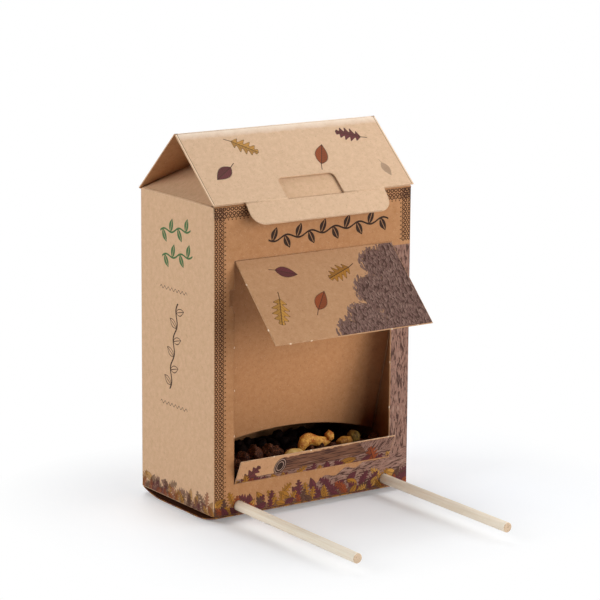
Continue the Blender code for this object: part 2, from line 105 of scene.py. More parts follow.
class Paint:
    # one material while it is being made
    def __init__(self, name):
        self.material = bpy.data.materials.new(name)
        self.material.use_nodes = True
        self.tree = self.material.node_tree
        self.shader = self.tree.nodes["Principled BSDF"]

    def node(self, kind, settings=None, sockets=None, output=0):
        made = self.tree.nodes.new(kind)
        for name, value in (settings or {}).items():
            if name == "stops":
                ramp = made.color_ramp.elements
                for spot, color in value[2:]:
                    ramp.new(spot)
                for stop, (spot, color) in zip(ramp, value):
                    stop.position, stop.color = spot, color
            elif name == "interpolation":
                made.color_ramp.interpolation = value
            else:
                setattr(made, name, value)
        for name, value in (sockets or {}).items():
            self.feed(made.inputs[name], value)
        return Signal(self, made.outputs[output])

    def feed(self, socket, value):
        if isinstance(value, Signal):
            self.tree.links.new(value.socket, socket)
        else:
            socket.default_value = value

    def math(self, operation, *values):
        return self.node("ShaderNodeMath", {"operation": operation}, dict(enumerate(values)))

    def vector(self, operation, *values):
        return self.node("ShaderNodeVectorMath", {"operation": operation}, dict(enumerate(values)))

    def scaled(self, vector, factor):
        sockets = {0: vector, "Scale": factor}
        return self.node("ShaderNodeVectorMath", {"operation": "SCALE"}, sockets)

    def clamp(self, value):
        return self.node("ShaderNodeClamp", {}, {"Value": value})

    def most(self, *values):
        top = values[0]
        for value in values[1:]:
            top = self.math("MAXIMUM", top, value)
        return top

    def least(self, first, second):
        return self.math("MINIMUM", first, second)

    def length(self, east, north):
        return self.math("SQRT", east * east + north * north)

    def mix(self, share, under, over):
        return self.node("ShaderNodeMix", {"data_type": "RGBA"}, {0: share, 6: under, 7: over}, 2)

    def patch(self, under, over, signal, start, contrast, share=1):
        # lays a colour over another where a signal passes a start value, or falls short of it
        # if the contrast is below 0
        return self.mix(self.clamp((signal - start) * contrast) * share, under, over)

    def place(self):
        return self.node("ShaderNodeTexCoord", {}, {}, "Object")

    def stretched(self, vector, turn, scale, middle=(0, 0, 0)):
        # the vector seen from a turned frame whose units are the given lengths
        sockets = {"Vector": vector, "Location": middle, "Rotation": turn, "Scale": scale}
        return self.node("ShaderNodeMapping", {"vector_type": "TEXTURE"}, sockets)

    def noise(self, vector, scale, detail=2.0, roughness=0.5, output=0):
        sockets = {"Vector": vector, "Scale": scale, "Detail": detail, "Roughness": roughness}
        return self.node("ShaderNodeTexNoise", {}, sockets, output)

    def bent(self, vector, scale, reach):
        # the vector pushed about a little, so that what is drawn on it isn't ruled
        push = self.vector("SUBTRACT", self.noise(vector, scale, 1.0, output="Color"), (0.5, 0.5, 0.5))
        return self.vector("ADD", vector, self.scaled(push, reach))

    def parts(self, vector):
        outputs = self.node("ShaderNodeSeparateXYZ", {}, {"Vector": vector}).socket.node.outputs
        return [Signal(self, output) for output in outputs]

    def sheet(self):
        # where a point lies on the flat board, in millimetres
        return self.scaled(self.node("ShaderNodeUVMap", {"uv_map": "sheet"}), 1000)

    def finish(self, color, roughness, height=None, depth=0.00005, strength=0.5, gloss=0.12):
        self.shader.inputs["Specular IOR Level"].default_value = gloss
        self.feed(self.shader.inputs["Base Color"], color)
        self.feed(self.shader.inputs["Roughness"], roughness)
        if height is not None:
            sockets = {"Height": height, "Distance": depth, "Strength": strength}
            self.feed(self.shader.inputs["Normal"], self.node("ShaderNodeBump", {}, sockets))
        return self.material


def turned(east, north, cosine, sine):
    return east * cosine + north * sine, north * cosine - east * sine


def tone(red, green, blue):
    # a colour as a screen shows it, 0 to 255, turned into a shader's linear colour
    def linear(value):
        share = value / 255
        return share / 12.92 if share <= 0.04045 else ((share + 0.055) / 1.055) ** 2.4
    return (linear(red), linear(green), linear(blue), 1)


# Board stock and its inks

stock = {
    # light and dark tone of each board
    "pale": (tone(223, 185, 150), tone(203, 164, 127)),
    "roof": (tone(225, 190, 157), tone(206, 170, 136)),
    # ridge: a paler copy of the roof kraft, a painted highlight on the lit ridge fold
    "ridge": (tone(252, 236, 220), tone(242, 220, 198)),
    # warm, light, awning and inside: darker, warmer copies of the one kraft, painted shade on the
    # front-facing, lower and inner boards
    "warm": (tone(183, 134, 92), tone(164, 113, 72)),
    "light": (tone(204, 157, 117), tone(186, 137, 97)),
    "awning": (tone(193, 149, 110), tone(174, 128, 90)),
    "inside": (tone(193, 141, 97), tone(174, 120, 78)),
    "paintedShade": (tone(88, 46, 25), tone(56, 27, 15)),  # painted shade for the dark gap under the walls, on the inner side of the bottom panel and its flaps
    "cut": (tone(232, 200, 166), tone(176, 130, 92)),
    # warmCut: a darker copy of the cut edge, painted shade on the awning's edges
    "warmCut": (tone(212, 172, 132), tone(168, 122, 84)),
    # single fibres: ink, turn, size in metres, where they start to show, contrast, strength;
    # those of the last row also raise the surface
    "fibres": [
        (tone(122, 82, 52), (0.3, 0.5, 0.6), (0.0016, 0.00025, 0.0016), 0.63, 9, 0.5),
        (tone(232, 204, 172), (0.9, 0.2, -0.7), (0.0020, 0.0003, 0.0020), 0.62, 8, 0.22),
    ],
    "roughness": 0.68,
    "fibreDepth": 0.00006, "fibreBump": 0.35,
    "wornRoughness": 0.8, "cutRoughness": 0.85, "tornDepth": 0.0001,
}

inks = {
    "line": tone(60, 38, 30),
    "lace": tone(62, 36, 22),
    "ochre": tone(166, 112, 40),
    "gold": tone(188, 136, 62),
    "plum": tone(98, 44, 52),
    "rust": tone(146, 68, 34),
    "umber": tone(92, 62, 48),
    "green": tone(66, 108, 66),
    "black": tone(40, 28, 24),
    "crown": tone(126, 95, 84),
    "crownDark": tone(66, 46, 42),
    "crownLight": tone(156, 124, 110),
    "log": tone(116, 77, 58),
    "bark": tone(142, 106, 92),
    "barkDark": tone(64, 42, 36),
    "barkLight": tone(158, 128, 112),
}


def kraft(paint, tint):
    # colour, and fibre height for the bump
    light, dark = stock[tint]
    place = paint.place()
    mottle = paint.noise(place, 330, 4, 0.62)
    fine = paint.noise(place, 2100, 3, 0.6)
    color = paint.mix(paint.clamp((mottle - 0.5) * 1.5 + (fine - 0.5) * 0.9 + 0.5), dark, light)
    for ink, turn, size, start, contrast, strength in stock["fibres"]:
        fibre = paint.noise(paint.stretched(place, turn, size), 1, 2)
        color = paint.patch(color, ink, fibre, start, contrast, strength)
    return color, fine * 0.6 + mottle * 0.4 + fibre * 0.5


def asBoard(paint, color, height):
    return paint.finish(color, stock["roughness"], height, stock["fibreDepth"], stock["fibreBump"])


def kraftBoard(name, tint):
    paint = Paint(name)
    return asBoard(paint, *kraft(paint, tint))


def wornRimAndHighlight(name, tint, share):
    # beside a cut the top layer has lifted here and there, and its pale fibres show; where the share is high
    # the pale ring is also a painted highlight along the lit edge
    paint = Paint(name)
    color, height = kraft(paint, tint)
    wear = paint.noise(paint.place(), 620, 3, 0.65)
    color = paint.patch(color, stock["cut"][0], wear, 0.42, 5, share)
    return paint.finish(color, stock["wornRoughness"], height + wear, stock["tornDepth"], 0.5)


def cutEdge(name, tint):
    # torn fibres in layers across the cut
    paint = Paint(name)
    place = paint.place()
    light, dark = stock[tint]
    fuzz = paint.noise(place, 2600, 4, 0.7)
    long = paint.noise(paint.stretched(place, (0, 0, 0), (0.004, 0.004, 0.0003)), 1, 3)
    color = paint.mix(paint.clamp(fuzz * 0.9 + long * 0.7 - 0.35), dark, light)
    return paint.finish(color, stock["cutRoughness"], fuzz + long, stock["tornDepth"], 0.6)


def startPrint(name, tint):
    # a board ready to be printed on: paint, colour, fibre height, flat place and its two parts
    paint = Paint(name)
    color, height = kraft(paint, tint)
    flat = paint.sheet()
    across, along, none = paint.parts(flat)
    return paint, color, height, flat, across, along


# Leaves

leafShape = {
    "fade": 0.14,  # millimetres over which the ink's edge fades
    # the rest is in half lengths of the leaf
    "rim": 0.05, "middle": 0.03,
    "ribsAlong": 4.4, "ribsSlant": 3.6, "ribWidth": 0.12, "ribInk": 0.7,
    "stemFrom": -1.5, "stemTo": -0.85, "stemLean": 0.14, "stemWidth": 0.032,
    "shade": 0.25,  # of the half on one side of the middle rib
}


def lobedWidth(paint, along, side):
    # half width of a leaf with lobes, from its stem at -1 to its tip at 1
    wave = paint.math("COSINE", along * 15 - side * 6)
    return paint.most(1 - along * along, 0) ** 0.55 * (0.44 + 0.19 * wave)


def ovalWidth(paint, along, side):
    # the same for an oval leaf with small teeth
    teeth = (along * 9 - side * 5) % 1
    return paint.most(1 - along * along, 0) * (0.46 + 0.08 * teeth - 0.14 * along)


def inkLeaf(paint, color, along, across, width, size, fill, strength, lineInk=0.88):
    # a leaf with its outline, ribs and stem; along and across are in half lengths
    leaf = leafShape
    side = abs(across)
    sharp = size / leaf["fade"]
    inside = width - side
    rim = 1 - paint.clamp((inside - leaf["rim"]) * sharp)
    ribs = ((along * leaf["ribsAlong"] - side * leaf["ribsSlant"]) % 1) < leaf["ribWidth"]
    stem = abs(across + (along + 1) * leaf["stemLean"]) < leaf["stemWidth"]
    stem = stem * (along > leaf["stemFrom"]) * (along < leaf["stemTo"])
    lines = paint.most(rim, ribs * leaf["ribInk"], side < leaf["middle"], stem)
    shaded = paint.mix((across > 0) * leaf["shade"], fill, inks["line"])
    drawn = paint.mix(lines * lineInk, shaded, inks["line"])
    return paint.mix(paint.most(paint.clamp(inside * sharp), stem) * strength, color, drawn)


def scatter(paint, color, flat, leaves):
    # single leaves: across, along, turn, half length, kind, ink, strength
    for x, y, turn, size, kind, ink, strength in leaves:
        seen = paint.stretched(flat, (0, 0, radians(turn)), (size, size, size), (x, y, 0))
        along, across, none = paint.parts(seen)
        width = kind(paint, along, abs(across))
        color = inkLeaf(paint, color, along, across, width, size, inks[ink], strength)
    return color


band = {
    # rows of leaves from the back to the front, in millimetres above the foot
    "rows": [
        {"pitch": 9.5, "shift": 0.20, "height": 8.0, "jitter": 3.4, "size": 5.0, "seed": 3.5},
        {"pitch": 8.2, "shift": 0.55, "height": 5.6, "jitter": 2.6, "size": 4.8, "seed": 21.5},
        {"pitch": 7.4, "shift": 0.05, "height": 3.4, "jitter": 1.8, "size": 4.6, "seed": 40.5},
        {"pitch": 6.6, "shift": 0.50, "height": 1.6, "jitter": 1.0, "size": 4.2, "seed": 63.5},
    ],
    "fills": [(0, inks["ochre"]), (0.2, inks["plum"]), (0.42, inks["rust"]), (0.58, inks["umber"]),
              (0.72, inks["gold"]), (0.86, inks["plum"])],
    "turn": 2.6, "drift": 0.16, "lobedShare": 0.45, "lineInk": 0.85,
    "litterTop": 2.6, "litterFade": 0.6, "litterRagged": 5, "litterInk": 0.88,
}


def leafRow(paint, color, across, along, row, strength):
    # one row of leaves, each in its own cell with its own turn, shape and colour
    pitch, size = row["pitch"], row["size"]
    shifted = across / pitch + row["shift"]
    column = paint.math("FLOOR", shifted)
    settings = {"noise_dimensions": "1D"}
    dice = paint.node("ShaderNodeTexWhiteNoise", settings, {"W": column + row["seed"]}, 1)
    first, second, third = paint.parts(dice)
    turn = (first - 0.5) * band["turn"] + pi / 2
    east = (shifted - column - 0.5) * pitch + (second - 0.5) * (pitch * band["drift"])
    north = along - row["height"] - (third - 0.5) * row["jitter"]
    stem, sideways = turned(east, north, paint.math("COSINE", turn), paint.math("SINE", turn))
    stem, sideways = stem / size, sideways / size
    side = abs(sideways)
    lobed = second > band["lobedShare"]
    width = lobedWidth(paint, stem, side) * lobed + ovalWidth(paint, stem, side) * (1 - lobed)
    pick = (first * 7.3 + third * 3.1) % 1
    settings = {"stops": band["fills"], "interpolation": "CONSTANT"}
    fill = paint.node("ShaderNodeValToRGB", settings, {"Fac": pick})
    return inkLeaf(paint, color, stem, sideways, width, size, fill, strength, band["lineInk"])


def leafBand(paint, color, across, along, strength=0.97):
    # dark litter at the foot, then the rows of leaves
    ragged = (paint.noise(paint.place(), 420, 2) - 0.5) * band["litterRagged"]
    litter = paint.clamp(band["litterTop"] - along * band["litterFade"] + ragged)
    color = paint.mix(litter * band["litterInk"] * strength, color, inks["umber"])
    for row in band["rows"]:
        color = leafRow(paint, color, across, along, row, strength)
    return color


# Lace border

lace = {
    "start": 0.3, "pitch": 2.7, "ring": 0.93, "stroke": 0.38,
    "scallop": 1.15, "scallopStroke": 0.30, "core": 0.5, "tipAt": 2.2, "tip": 0.42, "ink": 0.92,
}


def laceStrip(paint, color, inward, along, where):
    # two rows of rings, then a scalloped edge with tips; inward is the distance from the crease
    pitch = lace["pitch"]
    stagger = (paint.math("FLOOR", inward / pitch) % 2) * 0.5
    east = (((along / pitch) + stagger) % 1 - 0.5) * pitch
    north = ((inward / pitch) % 1 - 0.5) * pitch
    ring = abs(paint.length(east, north) - lace["ring"]) < lace["stroke"]
    rings = ring * ((inward > lace["start"]) * (inward < 2 * pitch))
    reach = inward - 2 * pitch
    scallop = paint.length(east, reach)
    fringe = (abs(scallop - lace["scallop"]) < lace["scallopStroke"]) * (reach > 0)
    tip = paint.length(east, reach - lace["tipAt"]) < lace["tip"]
    core = (scallop < lace["core"]) * (reach > 0)
    return paint.mix(paint.most(rings, fringe, tip, core) * where * lace["ink"], color, inks["lace"])


# Bark and treetop

bark = {
    "swerveScale": 0.09, "swerve": 3.0, "fade": 2.5, "ink": 0.96,
    # strokes: turn, width of a furrow as a share, length, detail
    "strokes": (0, 1, 0.9, 3), "cracks": (8, 0.4, 0.45, 2),
}


def barkMass(paint, color, flat, inside, turn, furrow):
    # furrowed bark where inside is above 0
    bent = paint.bent(flat, bark["swerveScale"], bark["swerve"])
    drawn = []
    for lean, width, length, detail in (bark["strokes"], bark["cracks"]):
        grid = paint.stretched(bent, (0, 0, radians(turn + lean)), (furrow * width, length, 1))
        drawn.append(paint.noise(grid, 1, detail))
    strokes, cracks = drawn
    mask = paint.clamp(inside * bark["fade"])
    color = paint.mix(mask * bark["ink"], color, inks["bark"])
    color = paint.patch(color, inks["barkDark"], strokes, 0.53, 16, mask * 0.9)
    color = paint.patch(color, inks["barkDark"], cracks, 0.57, 16, mask * 0.75)
    return paint.patch(color, inks["barkLight"], strokes, 0.42, -14, mask * 0.75)


crown = {
    # shift of each layer of leaves, their room across and along, and their lean
    "layers": [((0, 0), 2.3, 4.4, 28), ((1.4, 2.1), 2.0, 4.0, -16), ((0.6, 3.3), 1.8, 3.8, 8)],
    "ragged": 4.0, "turn": 0.8,
    "long": 0.58, "wide": 0.5, "outline": 0.16, "rib": 0.07, "sharp": 9,
}


def crownMass(paint, color, flat, inside):
    # a treetop of narrow leaves in layers, each with its outline and middle rib, where inside is above 0
    color = paint.mix(paint.clamp(inside - 1.5) * 0.95, color, inks["crownDark"])
    for shift, wide, long, lean in crown["layers"]:
        grid = paint.stretched(flat, (0, 0, radians(lean)), (wide, long, 1), (*shift, 0))
        settings = {"voronoi_dimensions": "2D", "feature": "F1"}
        cells = paint.node("ShaderNodeTexVoronoi", settings, {"Vector": grid, "Scale": 1, "Randomness": 0.8})
        tint, center = [Signal(paint, cells.socket.node.outputs[name]) for name in ("Color", "Position")]
        east, north, none = paint.parts(paint.vector("SUBTRACT", grid, center))
        shade, second, third = paint.parts(tint)
        turn = (second - 0.5) * crown["turn"]
        cosine, sine = paint.math("COSINE", turn), paint.math("SINE", turn)
        across, along = turned(east * wide, north * long, cosine, sine)
        along, across = along / (long * crown["long"]), across / (wide * crown["wide"])
        depth = (1 - along * along) * (0.78 - 0.2 * along) - abs(across)
        mask = paint.clamp(depth * crown["sharp"]) * (inside + (third - 0.5) * crown["ragged"] > 0)
        leaf = paint.mix(shade * shade, inks["crown"], inks["crownLight"])
        leaf = paint.mix((across > 0) * 0.3, leaf, inks["crownDark"])
        outline = 1 - paint.clamp((depth - crown["outline"]) * crown["sharp"])
        leaf = paint.mix(paint.most(outline, abs(across) < crown["rib"]) * 0.85, leaf, inks["crownDark"])
        color = paint.mix(mask, color, leaf)
    return color


# Garland

twig = {"stroke": 0.066, "leafRise": 0.46, "leafSize": 0.52, "leafTurn": 1.15, "leafWidth": 0.5, "fade": 0.12,
        "outline": 0.11, "rib": 0.05, "ink": 0.97}


def garland(paint, color, flat, spray, ink, wave, outlined=False):
    # a waving twig with a leaf at each bend, alternately above and below
    pitch = spray["pitch"]
    seen = paint.stretched(flat, (0, 0, radians(spray["turn"])), (1, 1, 1), (*spray["spot"], 0))
    along, across, none = paint.parts(seen)
    within = abs(along) < spray["half"]
    line = paint.math("SINE", along * (pi / pitch)) * wave
    column = paint.math("FLOOR", along / pitch)
    flip = (column % 2) * 2 - 1
    east = along - (column + 0.5) * pitch
    north = (across - line) * flip - pitch * twig["leafRise"]
    size = pitch * twig["leafSize"]
    stem, sideways = turned(east, north, cos(twig["leafTurn"]), sin(twig["leafTurn"]))
    stem, side = stem / size, abs(sideways / size)
    inside = (1 - stem * stem) * twig["leafWidth"] - side
    sharp = size / twig["fade"]
    leaf = paint.clamp(inside * sharp)
    rib = side < twig["rib"]
    if outlined:
        leaf = leaf * (1 - paint.clamp((inside - twig["outline"]) * sharp))
        leaf = paint.most(leaf, rib * (abs(stem) < 0.9))
    else:
        leaf = leaf * (1 - rib * (abs(stem) < 0.75) * 0.8)
    mask = paint.most((abs(across - line) < pitch * twig["stroke"]) * within, leaf * within)
    return paint.mix(mask * twig["ink"], color, ink)


# Prints of the walls, in millimetres on the flat sheet

frontPrint = {
    "width": 139.6, "height": 183.5, "laceEnds": 151.0,
    "garland": {"spot": (80, 163.5), "turn": 3.0, "half": 43, "pitch": 8.6},
    "jamb": 124.0, "trunkTop": 149.0,
    "rootStart": 52.0, "rootFoot": 5, "rootRise": 15.0, "rootWave": 1.3,
}


def printedFront():
    paint, color, height, flat, across, along = startPrint("printedFront", "warm")
    size = frontPrint
    trunk = paint.least(paint.least(across - size["jamb"], size["trunkTop"] - along), along)
    color = barkMass(paint, color, flat, trunk, 88, 5.5)
    # roots run out from the trunk's foot along the ground
    past = across - size["rootStart"]
    reach = paint.most(past, 0) / (size["jamb"] - size["rootStart"])
    wave = paint.math("SINE", across * 0.42) * size["rootWave"]
    roots = size["rootFoot"] + reach ** 0.7 * size["rootRise"] + wave - along
    color = barkMass(paint, color, flat, paint.least(roots, past), 8, 5.0)
    sides = 1 - (across > size["width"] / 2) * (along < size["laceEnds"])
    color = laceStrip(paint, color, paint.least(across, size["width"] - across), along, sides)
    color = laceStrip(paint, color, size["height"] - along, across, 1)
    color = garland(paint, color, flat, size["garland"], inks["black"], 1.4)
    return asBoard(paint, leafBand(paint, color, across, along), height)


sidePrint = {
    "sprigs": [{"spot": (-42, 164), "turn": 8, "half": 17, "pitch": 8.5},
               {"spot": (-40, 149), "turn": 8, "half": 17, "pitch": 8.5}],
    "drawing": {"spot": (-44, 94), "turn": 80, "half": 27, "pitch": 9.0},
    "rules": (128.0, 58.0), "ruleMiddle": -44, "ruleHalf": 15,
    "bandShift": 200, "bandInk": 0.72,
}


def printedSide(name, decorated):
    paint, color, height, flat, across, along = startPrint(name, "pale")
    if decorated:
        for sprig in sidePrint["sprigs"]:
            color = garland(paint, color, flat, sprig, inks["green"], 1.2)
        color = garland(paint, color, flat, sidePrint["drawing"], inks["line"], 1.4, outlined=True)
        ripple = paint.math("SINE", across * 1.6) * 0.8
        within = abs(across - sidePrint["ruleMiddle"]) < sidePrint["ruleHalf"]
        for level in sidePrint["rules"]:
            rule = (abs(along - level - ripple) < 0.3) * within
            color = paint.mix(rule * 0.8, color, inks["line"])
    color = leafBand(paint, color, across + sidePrint["bandShift"], along, sidePrint["bandInk"])
    return asBoard(paint, color, height)


def printedBack():
    paint, color, height, flat, across, along = startPrint("printedBack", "pale")
    return asBoard(paint, leafBand(paint, color, across + 71, along), height)


# Prints of the roof, across and down from the ridge

roofLeaves = [
    (-53, 33, 148, 8.0, ovalWidth, "plum", 0.95),
    (-30, 15, 35, 9.0, lobedWidth, "gold", 0.92),
    (19, 26, -62, 8.5, ovalWidth, "rust", 0.95),
    (45, 13, 200, 8.5, lobedWidth, "plum", 0.95),
    (58, 42, 80, 5.5, ovalWidth, "umber", 0.45),
]

# paler band along the ridge: worn board and a painted highlight on the lit fold
ridgeWearAndHighlight = {"reach": 6.5, "ragged": 0.5, "strength": 0.85, "pale": tone(252, 236, 218)}

roofEdgeLitAndShaded = {
    # the slopes' side edges: a pale strip, a painted highlight for the lit cut edges of the two boards, and a
    # dark line beside it, a painted shadow for the gap between them; darker at the ridge's ends
    "strip": 0.95, "stripInk": 0.8, "pale": tone(244, 214, 182),
    "line": 0.5, "lineInk": 0.65, "dark": tone(104, 74, 52),
    "ridgeEnds": 2.2, "ridgeEndsDown": 0.6, "ridgeEndsInk": 0.7, "ridgeInk": 0.8,
    "half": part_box("roof_front_panel")[1].x * 1000,
}


def ridgeBoard():
    # the ridge fold in the paler copy of the kraft, a painted highlight, darker at its two ends
    paint = Paint("kraftRidge")
    color, height = kraft(paint, "ridge")
    across, along, up = paint.parts(paint.place())
    side = roofEdgeLitAndShaded["half"] - abs(across) * 1000
    ridgeEnds = paint.clamp((roofEdgeLitAndShaded["ridgeEnds"] - side) * 2)
    return asBoard(paint, paint.mix(ridgeEnds * roofEdgeLitAndShaded["ridgeInk"], color, roofEdgeLitAndShaded["dark"]), height)


def printedRoof(name, leaves):
    paint, color, height, flat, across, along = startPrint(name, "roof")
    color = scatter(paint, color, flat, leaves)
    # rubbed paler towards the ridge: worn board, and a painted highlight where the fold meets the light
    ragged = (paint.noise(paint.place(), 240, 3) - 0.5) * ridgeWearAndHighlight["ragged"]
    rub = paint.clamp(1 - along / ridgeWearAndHighlight["reach"] + ragged)
    color = paint.mix(rub * ridgeWearAndHighlight["strength"], color, ridgeWearAndHighlight["pale"])
    edge = roofEdgeLitAndShaded
    side = edge["half"] - abs(across)
    # painted highlight along the lit edges, then a painted shadow line for the gap between the boards
    color = paint.mix((side < edge["strip"]) * edge["stripInk"], color, edge["pale"])
    line = (side > edge["strip"]) * (side < edge["strip"] + edge["line"])
    color = paint.mix(line * edge["lineInk"], color, edge["dark"])
    # darker at the corners by the ridge
    ridgeEnds = (side < edge["ridgeEnds"]) * (along < edge["ridgeEnds"] * edge["ridgeEndsDown"])
    return asBoard(paint, paint.mix(ridgeEnds * edge["ridgeEndsInk"], color, edge["dark"]), height)


# Prints of the bottom, the awning and the lip

footPrint = {
    "fills": [(0, inks["rust"]), (0.42, inks["plum"]), (0.5, inks["umber"]), (0.56, inks["ochre"])],
    "ink": 0.85,
}


def printedFoot():
    # the leaf litter of the walls runs on under the carton, rubbed through to the board in places
    paint = Paint("printedFoot")
    color, height = kraft(paint, "warm")
    patches = paint.noise(paint.place(), 260, 3, 0.6)
    fill = paint.node("ShaderNodeValToRGB", {"stops": footPrint["fills"]}, {"Fac": patches})
    bare = paint.clamp((paint.noise(paint.place(), 700, 3, 0.6) - 0.56) * 9)
    return asBoard(paint, paint.mix((1 - bare) * footPrint["ink"], color, fill), height)


awningPrint = {
    # middle and radius of each clump of the treetop
    "clumps": [((54, 8), 12), ((39, 14), 12), ((52, 30), 19), ((28, 34), 14), ((44, 52), 20), ((13, 50), 12),
               ((-1, 58), 10), ((20, 60), 12)],
    "leaves": [
        (-42, 38, 110, 9.5, lobedWidth, "gold", 0.96),
        (-26, 12, 20, 7.5, ovalWidth, "plum", 0.96),
        (-12, 34, -50, 8.0, ovalWidth, "rust", 0.95),
        (9, 17, 160, 9.0, lobedWidth, "ochre", 0.96),
    ],
}


def printedAwning():
    paint, color, height, flat, across, along = startPrint("printedAwning", "awning")
    color = scatter(paint, color, flat, awningPrint["leaves"])
    depths = [radius - paint.length(across - x, along - y) for (x, y), radius in awningPrint["clumps"]]
    return asBoard(paint, crownMass(paint, color, flat, paint.most(*depths)), height)


lipPrint = {
    "logStart": -26, "logMiddle": 9.6, "logHalf": 6.4, "logLean": 0.03, "endReach": 4.4, "ragged": 2.6,
    "trunkFrom": 34, "rootTop": 3.6,
    "leaves": [
        (-46, 5, 50, 8.0, lobedWidth, "plum", 0.96),
        (24, 2, 15, 7.5, ovalWidth, "ochre", 0.96),
        (42, 4, 120, 8.0, lobedWidth, "rust", 0.96),
    ],
}


def printedLip():
    paint, color, height, flat, across, along = startPrint("printedLip", "light")
    size = lipPrint
    # a fallen log with its cut end to the left
    rise = along - size["logMiddle"] - (across - 20) * size["logLean"]
    rough = (paint.noise(flat, 0.35, 2) - 0.5) * size["ragged"]
    log = paint.clamp((size["logHalf"] + rough - abs(rise)) * 3) * (across > size["logStart"])
    strokes = paint.noise(paint.stretched(flat, (0, 0, size["logLean"]), (14, 0.9, 1)), 1, 3)
    color = paint.mix(log * 0.97, color, inks["log"])
    color = paint.patch(color, inks["barkDark"], strokes, 0.50, 14, log * 0.95)
    color = paint.patch(color, inks["barkLight"], strokes, 0.38, -12, log * 0.5)
    past = across - size["logStart"]
    far = paint.length(past / size["endReach"], rise / size["logHalf"])
    rings = paint.most((far * 3.5) % 1 < 0.6, far < 0.45)
    cutEnd = paint.mix(rings, inks["barkLight"], inks["black"])
    color = paint.mix(paint.clamp((1 - far) * 12) * 0.97, color, cutEnd)
    # the standing trunk's foot to the right, and a root along the crease
    color = barkMass(paint, color, flat, across - size["trunkFrom"] + (along - 10) * 0.9, 72, 5.0)
    color = barkMass(paint, color, flat, size["rootTop"] - along + paint.most(past, 0) * 0.05, 4, 5.0)
    color = scatter(paint, color, flat, size["leaves"])
    return asBoard(paint, leafBand(paint, color, across + 60, along + 8), height)


finishes = {
    "front": printedFront(),
    "left": printedSide("printedLeft", True),
    "right": printedSide("printedRight", False),
    "back": printedBack(),
    "roofFront": printedRoof("printedRoofFront", roofLeaves),
    "roofBack": printedRoof("printedRoofBack", roofLeaves[1:4]),
    "awning": printedAwning(),
    "lip": printedLip(),
    "foot": printedFoot(),
    "ridge": ridgeBoard(),
    "pale": kraftBoard("kraftPale", "pale"),
    "warm": kraftBoard("kraftWarm", "warm"),
    "inside": kraftBoard("kraftInside", "inside"),
    "roofPlain": kraftBoard("kraftRoof", "roof"),
    "paintedShade": kraftBoard("kraftPaintedShade", "paintedShade"),
    # the pale rim: worn fibres, strong enough to also be a painted highlight along the lit cut edges
    "paleRimWornAndLit": wornRimAndHighlight("paleRimWornAndLit", "roof", 0.85),
    "warmRim": wornRimAndHighlight("warmRim", "warm", 0.35),
    "edge": cutEdge("cutEdge", "cut"),
    "edgeWarm": cutEdge("cutEdgeWarm", "warmCut"),
}


# Finishes of the rods, the feed and the nuts

rodWood = {
    "light": tone(254, 243, 224), "dark": tone(242, 224, 196), "line": tone(212, 180, 142),
    "endLight": tone(222, 198, 170), "endDark": tone(178, 144, 112), "chip": tone(140, 110, 88),
    "heart": (-0.0021, 0.0012),  # the rings' middle, off the rod's own
    "ringPitch": 0.00062,
}


def birch():
    paint = Paint("birch")
    place = paint.place()
    grain = paint.noise(paint.stretched(place, (0, 0, 0.02), (0.0011, 0.05, 0.0011)), 1, 4, 0.6)
    pores = paint.noise(paint.stretched(place, (0, 0, 0), (0.00025, 0.006, 0.00025)), 1, 3, 0.6)
    color = paint.patch(rodWood["light"], rodWood["dark"], grain, 0.35, 2.4)
    color = paint.patch(color, rodWood["line"], pores, 0.6, 6, 0.45)
    return paint.finish(color, 0.55, pores + grain, 0.00008, 0.4, gloss=0.3)


def birchEnd():
    # growth rings off the rod's own middle, seen across the cut end
    paint = Paint("birchEnd")
    across, along, up = paint.parts(paint.place())
    rodLow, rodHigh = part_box("perch_rod_right")
    east = abs(across) - (rodLow.x + rodHigh.x) / 2 - rodWood["heart"][0]
    far = paint.length(east, up - rodLow.z - rodWood["heart"][1])
    wobble = paint.noise(paint.place(), 900, 3) * 0.0005
    rings = ((far + wobble) / rodWood["ringPitch"]) % 1
    pits = paint.noise(paint.place(), 5200, 2)
    chips = paint.noise(paint.place(), 1500, 3, 0.6)
    color = paint.mix(paint.clamp(rings * 0.6 + (pits - 0.5) * 1.2), rodWood["endLight"], rodWood["endDark"])
    color = paint.patch(color, rodWood["chip"], chips, 0.55, 8, 0.6)
    return paint.finish(color, 0.8, pits, 0.0001, 0.5)


crumbs = {
    # finish: material, light, dark and fleck tone, scale, share of flecks, gloss
    # nugget is a darker copy of nuggetFront: painted shade on the lumps that lie deep in the heap
    "nugget": ("nuggetCrumb", (40, 21, 13), (18, 9, 6), (84, 46, 26), 520, 0.36, 0.1),
    "nuggetFront": ("nuggetFront", (74, 38, 22), (30, 14, 9), (176, 104, 62), 520, 0.44, 0.15),
    "tuft": ("fibreTuft", (246, 226, 200), (224, 196, 164), (252, 238, 218), 900, 0.37, 0.25),
    "nut": ("nutShell", (232, 178, 78), (158, 72, 18), (252, 226, 142), 300, 0.40, 0.25),
    "nutPale": ("nutPaleShell", (240, 216, 140), (202, 150, 66), (250, 232, 176), 240, 0.37, 0.25),
    "nutDark": ("nutDarkShell", (206, 150, 60), (132, 78, 26), (232, 190, 100), 300, 0.37, 0.25),
    "nutGreen": ("nutGreenShell", (148, 120, 52), (84, 62, 26), (190, 160, 84), 300, 0.37, 0.25),
}


